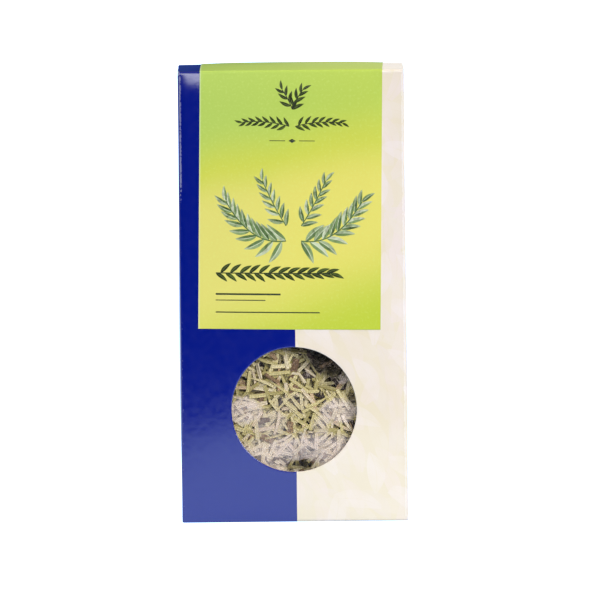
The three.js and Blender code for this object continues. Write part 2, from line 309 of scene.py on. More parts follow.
@dataclass(frozen=True)
class PrintedBoard(Finish):
    """The printed side of the carton: blue on the left half, cream with tonal leaves on the right."""

    name = "printed_board"
    blue: Colour = srgb(2, 22, 125)
    cream: Colour = srgb(240, 226, 200)
    pale_cream: Colour = srgb(243, 231, 211)
    core: Colour = srgb(206, 208, 222)
    worn_share: float = 0.42
    split: float = 0.6
    roughness: float = 0.13
    ior: float = 1.95
    handled: Place = (100.0, 116.0)
    # On the cream half, grey board along the creases as painted shade.
    cream_edge_shade: float = 0.36
    # Painted shade: over these heights the cream is multiplied by a deeper, warmer tone towards the foot.
    foot: Place = (0.0, 85.0)
    painted_foot_shade: Colour = (0.96, 0.95, 0.86)
    leaves: tuple[LeafLayer, ...] = (
        LeafLayer(14.0, 12.0, 2.9, (3.0, 8.0), 1.1, 1.3, srgb(243, 230, 219), 0.8),
        LeafLayer(12.0, 11.0, 2.5, (41.0, 17.0), 1.7, 1.5, srgb(246, 231, 223), 0.75),
        LeafLayer(13.5, 12.0, 2.6, (19.0, 83.0), 0.7, 1.2, srgb(244, 232, 217), 0.7),
        LeafLayer(15.0, 12.0, 3.0, (77.0, 59.0), 1.0, 2.0, srgb(247, 235, 227), 0.8),
    )

    def cream_print(self, graph: Graph, z: Any) -> Socket:
        """The cream half with its leaves, with painted shade that makes it a little deeper and warmer in tone
        towards the foot.

        Args:
            graph: The tree to add to.
            z: The height.

        Returns:
            The colour.
        """
        sheet = graph.flat_place(Sheet.SPAN)
        cream = graph.mix(graph.noise(sheet, 0.06, 2.0, flat=True), self.cream, self.pale_cream)
        for layer in self.leaves:
            mask, across = layer.mask(graph, sheet)
            vein = graph.ramp(graph.math("ABSOLUTE", across), 0.05, 0.2, 0.45, 1.0)
            wash = graph.ramp(graph.noise(sheet, 0.13, 3.0, flat=True), 0.25, 0.75, 0.35, 1.0)
            cream = graph.mix(graph.times(mask, vein, wash, layer.strength), cream, layer.tint)
        # Painted shade: the cream is deeper and warmer towards the foot.
        low = graph.ramp(z, *self.foot, 1.0, 0.0)
        return graph.mix(low, cream, graph.vector("MULTIPLY", cream, self.painted_foot_shade))

    def bare(self, graph: Graph, place: Any, z: Any, side: Any) -> Socket:
        """How far the print is rubbed off here: along the creases, most where hands hold the carton; on the
        cream half the grey board along every crease is also painted shade.

        Args:
            graph: The tree to add to.
            place: The place on the object.
            z: The height.
            side: 0 on the blue half and 1 on the cream.

        Returns:
            The share that is bare.
        """
        wear = graph.attribute(Sheet.WEAR_NAME)
        flecks = graph.noise(graph.vector("MULTIPLY", place, (1.0, 1.0, 0.6)), 2.2, 3.0)
        handled = graph.ramp(z, *self.handled, -0.1, 0.36)
        # On the cream half this adds painted shade: the grey board darkens every crease.
        handled = graph.math("MAXIMUM", handled, graph.times(side, self.cream_edge_shade))
        rubbed = graph.ramp(graph.math("ADD", graph.line(wear, 0.5, flecks), handled), 1.0, 1.2)
        return graph.times(rubbed, graph.ramp(wear, 0.4, 0.9))

    def paint(self, graph: Graph) -> Socket:
        """Build the print, its satin coat and the wear along the creases, with painted shade along the
        creases of the cream half.
        """
        place = graph.object_place()
        x, _, z = graph.parts(place)
        side = graph.ramp(x, self.split - 0.04, self.split + 0.04)
        printed = graph.mix(side, self.blue, self.cream_print(graph, z))
        bare = self.bare(graph, place, z, side)
        colour = graph.mix(graph.times(bare, self.worn_share), printed, self.core)
        mottle = graph.noise(place, 0.5, 3.0)
        satin = graph.ramp(mottle, 0.3, 0.7, self.roughness - 0.02, self.roughness + 0.03)
        fibre = graph.bump(graph.noise(place, 6.0, 3.0), 0.004, 0.5)
        swell = graph.bump(graph.noise(place, 0.3, 2.0), 0.04, 0.6, fibre)
        return graph.surface(colour, graph.math("ADD", satin, bare), swell, IOR=self.ior)


@dataclass(frozen=True)
class BareBoard(Finish):
    """The unprinted side of the board, uncoated and pale grey."""

    name = "bare_board"
    colour: Colour = srgb(214, 210, 200)
    fleck: Colour = srgb(170, 164, 152)
    grain: float = 3.0
    roughness: float = 0.85

    def paint(self, graph: Graph) -> Socket:
        """Build speckled pulp."""
        place = graph.object_place()
        specks = graph.ramp(graph.noise(place, self.grain, 4.0), 0.56, 0.72)
        colour = graph.mix(graph.times(specks, 0.6), self.colour, self.fleck)
        return graph.surface(colour, self.roughness, graph.bump(graph.noise(place, 5.0, 4.0), 0.02, 0.7))


@dataclass(frozen=True)
class CutBoard(BareBoard):
    """The cut edge of the board, layered and a little lighter."""

    name = "cut_board"
    colour: Colour = srgb(232, 228, 216)
    fleck: Colour = srgb(196, 188, 170)
    grain: float = 9.0


@dataclass(frozen=True)
class LabelPaper(Finish):
    """The label's printed side: a soft wash from green over yellow to yellow green."""

    name = "label_paper"
    top: Colour = srgb(178, 203, 93)
    top_right: Colour = srgb(184, 205, 86)
    middle: Colour = srgb(203, 208, 79)
    band: Colour = srgb(222, 214, 112)
    band_right: Colour = srgb(225, 216, 105)
    foot: Colour = srgb(187, 202, 60)
    grain: Colour = srgb(222, 238, 140)
    edge: Colour = srgb(232, 238, 226)
    roughness: float = 0.45
    ior: float = 1.25
    head_tilt: float = -0.2
    head_wash: Place = (38.0, 78.0)
    foot_tilt: float = 0.38
    foot_wash: Place = (-9.0, 23.0)
    margin: Place = (-30.0, -29.6)

    def paint(self, graph: Graph) -> Socket:
        """Build the wash, a fine print grain and the satin paper."""
        sheet = graph.flat_place(Sheet.SPAN)
        across, up, _ = graph.parts(sheet)
        level = graph.math("ADD", up, graph.line(graph.noise(sheet, 0.035, 2.0, flat=True), 5.0, -2.5))
        head = graph.mix(graph.ramp(across, -26.0, 28.0), self.top, self.top_right)
        above = graph.ramp(graph.line(across, self.head_tilt, level), *self.head_wash)
        below = graph.ramp(graph.line(across, -self.foot_tilt, level), *self.foot_wash)
        band = graph.mix(graph.ramp(across, -26.0, 12.0), self.band, self.band_right)
        lower = graph.mix(graph.ramp(above, 0.0, 0.55), graph.mix(below, self.foot, band), self.middle)
        colour = graph.mix(graph.ramp(above, 0.4, 1.0), lower, head)
        grain = graph.ramp(graph.noise(sheet, 1.1, 4.0, flat=True), 0.5, 0.8, 0.0, 0.14)
        colour = graph.mix(grain, colour, self.grain)
        colour = graph.mix(graph.ramp(across, *self.margin, 0.3, 0.0), colour, self.edge)
        relief = graph.bump(graph.noise(sheet, 5.0, 3.0, flat=True), 0.004, 0.5)
        swell = graph.bump(graph.noise(sheet, 0.3, 2.0, flat=True), 0.08, 0.5, relief)
        return graph.surface(colour, self.roughness, swell, IOR=self.ior)


@dataclass(frozen=True)
class WhitePaper(Finish):
    """The label's back and its cut edge."""

    name = "white_paper"
    colour: Colour = srgb(244, 242, 234)

    def paint(self, graph: Graph) -> Socket:
        """Build plain matt paper."""
        relief = graph.bump(graph.noise(graph.object_place(), 6.0, 3.0), 0.01, 0.6)
        return graph.surface(self.colour, 0.8, relief)


@dataclass(frozen=True)
class LeafInk(Finish):
    """The printed leaves of the label's ornament: two tones either side of a pale midrib."""

    name = "leaf_ink"
    dark: Colour = srgb(82, 110, 62)
    middle: Colour = srgb(132, 158, 100)
    pale: Colour = srgb(206, 215, 180)
    rib: Colour = srgb(226, 232, 200)

    def paint(self, graph: Graph) -> Socket:
        """Build each leaf's tone from its own draw and its place across the leaf."""
        along, across, _ = graph.parts(graph.flat_place())
        draw = graph.attribute(TINT)
        tone = graph.mix(draw, self.dark, self.middle)
        lit = graph.mix(graph.ramp(draw, 0.1, 1.0), self.middle, self.pale)
        body = graph.mix(graph.ramp(across, 0.49, 0.51), tone, lit)
        body = graph.mix(graph.ramp(along, 0.55, 1.0, 0.0, 0.45), body, self.pale)
        rib = graph.ramp(graph.apart(across, 0.5), 0.03, 0.07, 0.8, 0.0)
        return graph.surface(graph.mix(rib, body, self.rib), 0.3)


@dataclass(frozen=True)
class DarkLeafInk(LeafInk):
    """The small dark leaves of the label's bands."""

    name = "dark_leaf_ink"
    dark: Colour = srgb(30, 40, 14)
    middle: Colour = srgb(48, 62, 22)
    pale: Colour = srgb(74, 92, 36)
    rib: Colour = srgb(120, 138, 60)


@dataclass(frozen=True)
class LineInk(Finish):
    """Dark green ink, for thin rules."""

    name = "line_ink"
    colour: Colour = srgb(34, 44, 16)
    thin: Colour = srgb(52, 64, 26)

    def paint(self, graph: Graph) -> Socket:
        """Build ink that lies a little unevenly."""
        uneven = graph.ramp(graph.noise(graph.object_place(), 3.0, 2.0), 0.3, 0.7)
        return graph.surface(graph.mix(uneven, self.colour, self.thin), 0.32)


@dataclass(frozen=True)
class Patch:
    """A soft oval in the bag's face, in millimetres across and up, with its strength."""

    across: float
    up: float
    reach_across: float
    reach_up: float
    strength: float = 1.0
    edge: Place = (0.68, 1.14)

    def mask(self, graph: Graph, x: Any, z: Any) -> Socket:
        """How much of the patch is here.

        Args:
            graph: The tree to add to.
            x: The place across.
            z: The height.

        Returns:
            The patch's strength here.
        """
        aside = graph.math("DIVIDE", graph.math("SUBTRACT", x, self.across), self.reach_across)
        above = graph.math("DIVIDE", graph.math("SUBTRACT", z, self.up), self.reach_up)
        away = graph.vector("LENGTH", graph.joined(aside, above))
        return graph.ramp(away, *self.edge, self.strength, 0.0)


# Where the film looks whitish: dust, and painted glare that stands in for the film's reflection.
DUST_AND_GLARE_PATCHES = (
    Patch(6.0, 20.0, 32.0, 9.0),
    Patch(-16.5, 37.0, 6.2, 4.8, 0.95),
    Patch(-8.0, 32.5, 6.0, 5.0, 0.5),
    Patch(14.5, 36.4, 6.8, 3.9, 0.95),
    Patch(8.6, 32.0, 2.6, 3.6, 0.6),
    Patch(16.8, 46.8, 2.3, 1.6, 0.6),
    Patch(-1.0, 39.0, 6.0, 3.0, 0.2),
)
CLEAR_PATCH = Patch(2.4, 18.2, 6.0, 2.8)
DUST_AND_GLARE_WANDER = 5.0


def dust_and_glare_places(graph: Graph) -> Socket:
    """How hard the film lies on the herb here, where dust and crushed leaf, and painted glare that stands in
    for the film's reflection, make both look whitish.
    """
    place = graph.object_place()
    wander = graph.out("ShaderNodeTexNoise", {"Vector": place, "Scale": 0.45}, 1)
    wander = graph.scaled(graph.vector("SUBTRACT", wander, (0.5,) * 3), DUST_AND_GLARE_WANDER)
    x, _, z = graph.parts(graph.vector("ADD", place, wander))
    dust: Any = 0.0
    for patch in DUST_AND_GLARE_PATCHES:
        dust = graph.math("MAXIMUM", dust, patch.mask(graph, x, z))
    return graph.math("SUBTRACT", dust, CLEAR_PATCH.mask(graph, x, z), clamp=True)


@dataclass(frozen=True)
class BagFilm(Finish):
    """Clear, crinkled film, whitish where it lies hard on the herb: dust, and painted glare that stands in
    for the film's reflection.
    """

    name = "bag_film"
    ior: float = 1.25
    roughness: float = 0.2
    haze: Colour = srgb(226, 211, 203)
    haze_share: float = 0.2
    shadow_cut: float = 0.9

    def paint(self, graph: Graph) -> Socket:
        """Let light through, mirror a little of it by its fresnel, and haze over with dust and painted glare
        in the whitish places.
        """
        place = graph.object_place()
        broken = graph.ramp(graph.noise(place, 0.35, 1.0), 0.35, 0.6, 0.5, 1.0)
        crinkle = graph.bump(graph.noise(place, 0.55, 3.0), 0.35, 0.7)
        mirrored = graph.out("ShaderNodeFresnel", {"IOR": self.ior})
        # The haze is dust plus painted glare standing in for the film's reflection.
        hazed = graph.times(dust_and_glare_places(graph), broken, self.haze_share)
        shadow = graph.out("ShaderNodeLightPath", output="Is Shadow Ray")
        cover = graph.math("ADD", hazed, mirrored, clamp=True)
        cover = graph.times(cover, graph.line(shadow, -self.shadow_cut, 1.0))
        share = graph.math("DIVIDE", mirrored, graph.math("ADD", hazed, mirrored), clamp=True)
        shell = graph.surface(self.haze, self.roughness, crinkle, Metallic=share)
        clear = graph.out("ShaderNodeBsdfTransparent")
        return graph.out("ShaderNodeMixShader", {0: cover, 1: clear, 2: shell})


@dataclass(frozen=True)
class DriedLeaf(Finish):
    """Dried needles, from olive to straw and tan, with painted shade in the groove and deeper in the heap."""

    name = "dried_leaf"
    tones: tuple[tuple[float, Colour], ...] = (
        (0.0, srgb(80, 68, 44)),
        (0.1, srgb(132, 120, 72)),
        (0.3, srgb(190, 180, 114)),
        (0.5, srgb(224, 214, 150)),
        (0.7, srgb(240, 230, 178)),
        (0.9, srgb(248, 238, 212)),
        (1.0, srgb(208, 172, 130)),
    )
    # Dust, and painted glare from the film, over the needles in the whitish places.
    dust_and_glare: Colour = srgb(252, 240, 232)
    dust_and_glare_share: float = 0.7
    between_ribs: Colour = srgb(204, 194, 168)
    # Painted shade along the groove on each needle's top.
    groove: Colour = srgb(112, 98, 58)
    shade: Colour = srgb(32, 27, 18)
    # Depths over which painted shade darkens the needles.
    deep: Place = (-13.8, -8.4)
    roughness: float = 0.5

    def paint(self, graph: Graph) -> Socket:
        """Build fine ribs along each needle over its own tone."""
        along, across, _ = graph.parts(graph.flat_place())
        draw = graph.attribute(TINT)
        stretched = graph.joined(graph.line(along, 1.5, graph.times(draw, 37.0)), graph.times(across, 14.0))
        ribs = graph.noise(stretched, 1.6, 3.0, flat=True)
        toned = graph.colours(draw, self.tones)
        # Needles under the whitish places are lightened: dust, and painted glare.
        base = graph.mix(graph.times(dust_and_glare_places(graph), self.dust_and_glare_share), toned, self.dust_and_glare)
        deep = graph.mix(1.0, base, self.between_ribs, "MULTIPLY")
        colour = graph.mix(graph.ramp(ribs, 0.35, 0.65), deep, base)
        # Painted shade: the groove along the needle's top is darkened.
        groove = graph.ramp(graph.apart(across, 0.25), 0.0, 0.045, 0.45, 0.0)
        colour = graph.mix(groove, colour, self.groove)
        # Painted shade: needles deeper in the heap are darkened.
        depth = graph.ramp(graph.parts(graph.object_place())[1], *self.deep, 0.0, 0.92)
        colour = graph.mix(depth, colour, self.shade)
        return graph.surface(colour, self.roughness, graph.bump(ribs, 0.06, 0.8))


@dataclass(frozen=True)
class DriedStalk(Finish):
    """Bits of woody stalk, tan to dark brown."""

    name = "dried_stalk"
    tones: tuple[tuple[float, Colour], ...] = (
        (0.0, srgb(42, 34, 32)),
        (0.35, srgb(84, 66, 54)),
        (0.65, srgb(140, 110, 80)),
        (1.0, srgb(186, 158, 120)),
    )
    furrow: Colour = srgb(150, 140, 130)

    def paint(self, graph: Graph) -> Socket:
        """Build bark that is furrowed along its length."""
        along, across, _ = graph.parts(graph.flat_place())
        draw = graph.attribute(TINT)
        stretched = graph.joined(graph.line(draw, 51.0, along), graph.times(across, 9.0))
        furrows = graph.noise(stretched, 2.0, 4.0, flat=True)
        base = graph.colours(draw, self.tones)
        deep = graph.mix(1.0, base, self.furrow, "MULTIPLY")
        colour = graph.mix(graph.ramp(furrows, 0.35, 0.65), deep, base)
        return graph.surface(colour, 0.75, graph.bump(furrows, 0.12, 0.9))


@dataclass(frozen=True)
class HerbShade(Finish):
    """The inside of the heap, seen only between the pieces, painted dark as shade."""

    name = "herb_shade"
    colour: Colour = srgb(30, 24, 18)
    crumb: Colour = srgb(78, 68, 44)

    def paint(self, graph: Graph) -> Socket:
        """Build dark crumbs, whose darkness is painted shade."""
        crumbs = graph.noise(graph.object_place(), 0.9, 4.0)
        colour = graph.mix(graph.ramp(crumbs, 0.45, 0.8), self.colour, self.crumb)
        return graph.surface(colour, 0.9, graph.bump(crumbs, 0.6, 0.9))


@dataclass(frozen=True)
class PaleFloor(Finish):
    """The studio's plain pale floor, which looks burnt out to white."""

    name = "pale_floor"
    colour: Colour = (0.22, 0.24, 0.27)
    glow: Colour = (0.47, 0.62, 0.92)
    burn: float = 1.6
    held_back: float = 0.65

    def paint(self, graph: Graph) -> Socket:
        """Build a matt surface whose own light is in mirror images and, stronger, in the camera's view."""
        path = graph.node("ShaderNodeLightPath").outputs
        matt = graph.out("ShaderNodeBsdfDiffuse", {"Color": self.colour})
        mirrored = graph.line(path["Is Diffuse Ray"], -self.held_back, 1.0)
        strength = graph.line(path["Is Camera Ray"], self.burn, mirrored)
        glow = graph.out("ShaderNodeEmission", {"Color": self.glow, "Strength": strength})
        return graph.out("ShaderNodeAddShader", {0: matt, 1: glow})


@dataclass(frozen=True)
class PaleCard(Finish):
    """A pale card that shines evenly."""

    name = "pale_card"
    glow: Colour = (0.86, 0.83, 0.78)

    def paint(self, graph: Graph) -> Socket:
        """Build its light."""
        return graph.out("ShaderNodeEmission", {"Color": self.glow})


class Sheet:
    """A surface of quads that is collected point by point, with a flat place and a wear for each point."""

    UV_NAME = "flat"
    SPAN = 100.0
    WEAR_NAME = "wear"
    WELD = 1e-4
    VOTE_STRIDE = 7

    def __init__(self, span: float = SPAN) -> None:
        """Start with no points. The flat places are divided by the span in the UV map."""
        self.span = span
        self.points: list[Point] = []
        self.flat: list[Place] = []
        self.wear: list[float] = []
        self.faces: list[tuple[int, ...]] = []

    def point(self, where: Point, flat: Place, wear: float = 0.0) -> int:
        """Add a point.

        Args:
            where: Its place.
            flat: Its place on the flat sheet.
            wear: How worn the sheet is there.

        Returns:
            Its number.
        """
        self.points.append(where)
        self.flat.append(flat)
        self.wear.append(wear)
        return len(self.points) - 1

    def grid(self, rows: Sequence[Sequence[int]], closed: bool = False) -> None:
        """Join rows of points with quads.

        Args:
            rows: Rows of equal length, of point numbers.
            closed: Whether the end of each row joins its start.
        """
        for low, high in zip(rows, rows[1:]):
            count = len(low)
            for i in range(count if closed else count - 1):
                j = (i + 1) % count
                self.faces.append((low[i], low[j], high[j], high[i]))

    def tube(self, rows: Sequence[Sequence[int]]) -> None:
        """Join rings of points with quads, and close both ends with a face."""
        self.grid(rows, closed=True)
        self.faces += [tuple(reversed(rows[0])), tuple(rows[-1])]

    def build(self, name: str, outside: Outside | None = None) -> Piece:
        """Make the object, with its faces turned outwards.

        Args:
            name: Name of the piece.
            outside: Tells from a face's middle and normal whether it points outwards.

        Returns:
            The new object, at the origin.
        """
        mesh = bpy.data.meshes.new(name)
        mesh.from_pydata([tuple(c * MM for c in p) for p in self.points], [], self.faces)
        layer = mesh.uv_layers.new(name=self.UV_NAME)
        corners = np.empty(len(mesh.loops), np.int32)
        mesh.loops.foreach_get("vertex_index", corners)
        layer.data.foreach_set("uv", (np.array(self.flat, np.float32)[corners] / self.span).ravel())
        wear = mesh.attributes.new(self.WEAR_NAME, "FLOAT", "POINT")
        wear.data.foreach_set("value", np.array(self.wear, np.float32))
        work = bmesh.new()
        work.from_mesh(mesh)
        bmesh.ops.remove_doubles(work, verts=work.verts, dist=self.WELD * MM)
        bmesh.ops.recalc_face_normals(work, faces=work.faces)
        if outside is not None:
            asked = list(work.faces)[:: self.VOTE_STRIDE]
            votes = sum(1 if outside(face.calc_center_median(), face.normal) else -1 for face in asked)
            if votes < 0:
                bmesh.ops.reverse_faces(work, faces=work.faces)
        work.to_mesh(mesh)
        work.free()
        mesh.shade_smooth()
        return link(bpy.data.objects.new(name, mesh))


def facing_from(middle: Point) -> Outside:
    """A test of whether a face points away from a place in millimetres."""
    centre = Vector(middle) * MM
    return lambda face, normal: (face - centre).dot(normal) > 0


def link(piece: Piece) -> Piece:
    """Put an object in the scene."""
    bpy.context.scene.collection.objects.link(piece)
    return piece


def take_mesh(piece: Piece) -> bpy.types.Mesh:
    """Keep a helper object's mesh and delete the object."""
    mesh = piece.data
    bpy.data.objects.remove(piece)
    return mesh


def apply_modifiers(piece: Piece) -> None:
    """Turn a piece's modifiers into plain mesh."""
    depsgraph = bpy.context.evaluated_depsgraph_get()
    made = bpy.data.meshes.new_from_object(piece.evaluated_get(depsgraph), depsgraph=depsgraph)
    made.name = piece.name
    made.set_sharp_from_angle(angle=SHARP)
    piece.modifiers.clear()
    piece.data = made


def thicken(piece: Piece, thickness: float, inner: int = 0, rim: int = 0) -> None:
    """Give a sheet its thickness, inwards from its outer side.

    Args:
        piece: The sheet.
        thickness: In millimetres.
        inner: How many material slots further on the inner side's finish is.
        rim: The same for the cut edges.
    """
    for _ in range(1 + max(inner, rim)):
        piece.data.materials.append(None)
    modifier = piece.modifiers.new("thickness", "SOLIDIFY")
    modifier.thickness = thickness * MM
    modifier.offset = -1.0
    modifier.material_offset = inner
    modifier.material_offset_rim = rim
    apply_modifiers(piece)


def dress(piece: Piece, slot: str, *finishes: Finish) -> None:
    """Give a piece its finishes and let it ride on the part's body.

    Args:
        piece: The finished piece.
        slot: The record's material slot; not used.
        *finishes: One for each of the mesh's material slots.
    """
    while len(piece.data.materials) < len(finishes):
        piece.data.materials.append(None)
    for number, finish in enumerate(finishes):
        piece.data.materials[number] = finish.material()
    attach(piece, BODY)
    LOG.info("%s: %d faces", piece.name, len(piece.data.polygons))


@dataclass(frozen=True)
class CartonForm:
    """The closed carton's outer shape, which the board, the label and its print follow."""

    width: float = 75.0
    depth: float = 35.0
    height: float = 150.0
    board: float = 0.5
    crease: float = 0.6
    front_bulge: float = 1.6
    right_bulge: float = 0.25
    left_bulge: float = 0.49
    bulge_power: float = 0.7
    uneven: float = 0.05
    uneven_spans: Place = (21.0, 26.0)
    uneven_places: Place = (3.0, 9.0)
    brow: float = 0.5
    brow_reach: Place = (8.0, 80.0)
    brow_end: Place = (34.0, 24.0)
    top_dome: float = 1.3

    @property
    def flat_width(self) -> float:
        """Half the width between the creases."""
        return self.width / 2 - self.crease

    @property
    def flat_depth(self) -> float:
        """Half the depth between the creases."""
        return self.depth / 2 - self.crease

    @property
    def middle(self) -> Point:
        """The carton's middle."""
        return (0.0, 0.0, self.height / 2)

    @property
    def wrap_hinge(self) -> float:
        """The length up the front to where the wrap bends over."""
        return self.height - self.crease

    @property
    def bend(self) -> float:
        """The length of one bend."""
        return self.crease * math.pi / 2

    def swell(self, z: float) -> float:
        """The share of the full bulge at a height."""
        return math.sin(math.pi * min(max(z / self.height, 0.0), 1.0) ** self.bulge_power)

    def bulge(self, turn: int, across: float, z: float) -> float:
        """How far a panel stands out.

        Args:
            turn: The panel's quarter turn from the front.
            across: From the panel's middle.
            z: Height.

        Returns:
            The bulge, with the board's slight unevenness.
        """
        half = self.flat_depth if turn % 2 else self.flat_width
        most = (self.front_bulge, self.right_bulge, self.front_bulge, self.left_bulge)[turn % 4]
        crown = max(0.0, 1 - (across / half) ** 2)
        wide, tall = self.uneven_spans
        uneven = self.uneven * noise.noise(Vector((across / wide, z / tall, self.uneven_places[turn % 2])))
        uneven *= min(1.0, crown * 3) * min(1.0, self.swell(z) * 3)
        below = max(0.0, self.height - self.crease - z)
        near, far = self.brow_reach
        arch = 1 - max(0.0, 1 - below / near) ** 2
        brow = self.brow * arch * smoothstep(far, near, below) * min(1.0, crown * 12)
        brow *= 0.0 if turn % 2 else smoothstep(*self.brow_end, across)
        return self.swell(z) ** (1 + turn % 2) * crown * most + brow + uneven

    def dome(self, x: float, y: float) -> float:
        """How far the closed top rises."""
        return self.top_dome * (1 - (2 * x / self.width) ** 4) * (1 - (2 * y / self.depth) ** 2)

    def on_panel(self, turn: int, across: float, out: float, z: float) -> Point:
        """A point on a panel, which is turned from the front by quarters of a circle.

        Args:
            turn: The quarters.
            across: From the panel's middle.
            out: From the carton's axis.
            z: Height.

        Returns:
            The place.
        """
        x, y = across, -out
        for _ in range(turn % 4):
            x, y = -y, x
        return (x, y, z)

    def wall(self, turn: int, across: float, z: float, inset: float = 0.0) -> Point:
        """A point on a wall's outer face, or inset from it."""
        half = (self.width if turn % 2 else self.depth) / 2
        return self.on_panel(turn, across, half - inset + self.bulge(turn, across, z), z)

    def wrap(self, across: float, length: float, lift: float) -> Point:
        """A point on a strip laid up the front, over the top and down the back.

        Args:
            across: From the middle, to the right seen from the front.
            length: Along the strip, 0 at the front's foot.
            lift: Off the board.

        Returns:
            The place.
        """
        second = self.wrap_hinge + self.bend + 2 * self.flat_depth
        if length <= self.wrap_hinge:
            x, y, z = self.wall(0, across, length)
            return (x, y - lift, z)
        if length >= second + self.bend:
            x, y, z = self.wall(2, -across, self.wrap_hinge - (length - second - self.bend))
            return (x, y + lift, z)
        if self.wrap_hinge + self.bend <= length <= second:
            y = -self.flat_depth + length - self.wrap_hinge - self.bend
            return (across, y, self.height + self.dome(across, y) + lift)
        side, angle = -1, (length - self.wrap_hinge) / self.crease
        if length > second:
            side, angle = 1, math.pi / 2 - (length - second) / self.crease
        radius = self.crease + lift
        y = side * (self.flat_depth + radius * math.cos(angle))
        return (across, y, self.wrap_hinge + (radius + self.dome(across, y)) * math.sin(angle))


class Panel(Enum):
    """The carton's walls, by their quarter turn from the front."""

    FRONT = 0
    RIGHT = 1
    BACK = 2
    LEFT = 3

    @property
    def wide(self) -> bool:
        """Whether it is the front or the back."""
        return self.value % 2 == 0


@dataclass
class Column:
    """One upright line of the blank: where it stands and its place along the flat sheet."""

    along: float
    wear: float
    where: Callable[[float], Point]
    panel: Panel | None = None
    across: float = 0.0


@dataclass(frozen=True)
class FlapCut:
    """How a closing flap is cut: the boards outside it, its reach past the axis and its taper."""

    layer: int
    reach: float
    taper: float


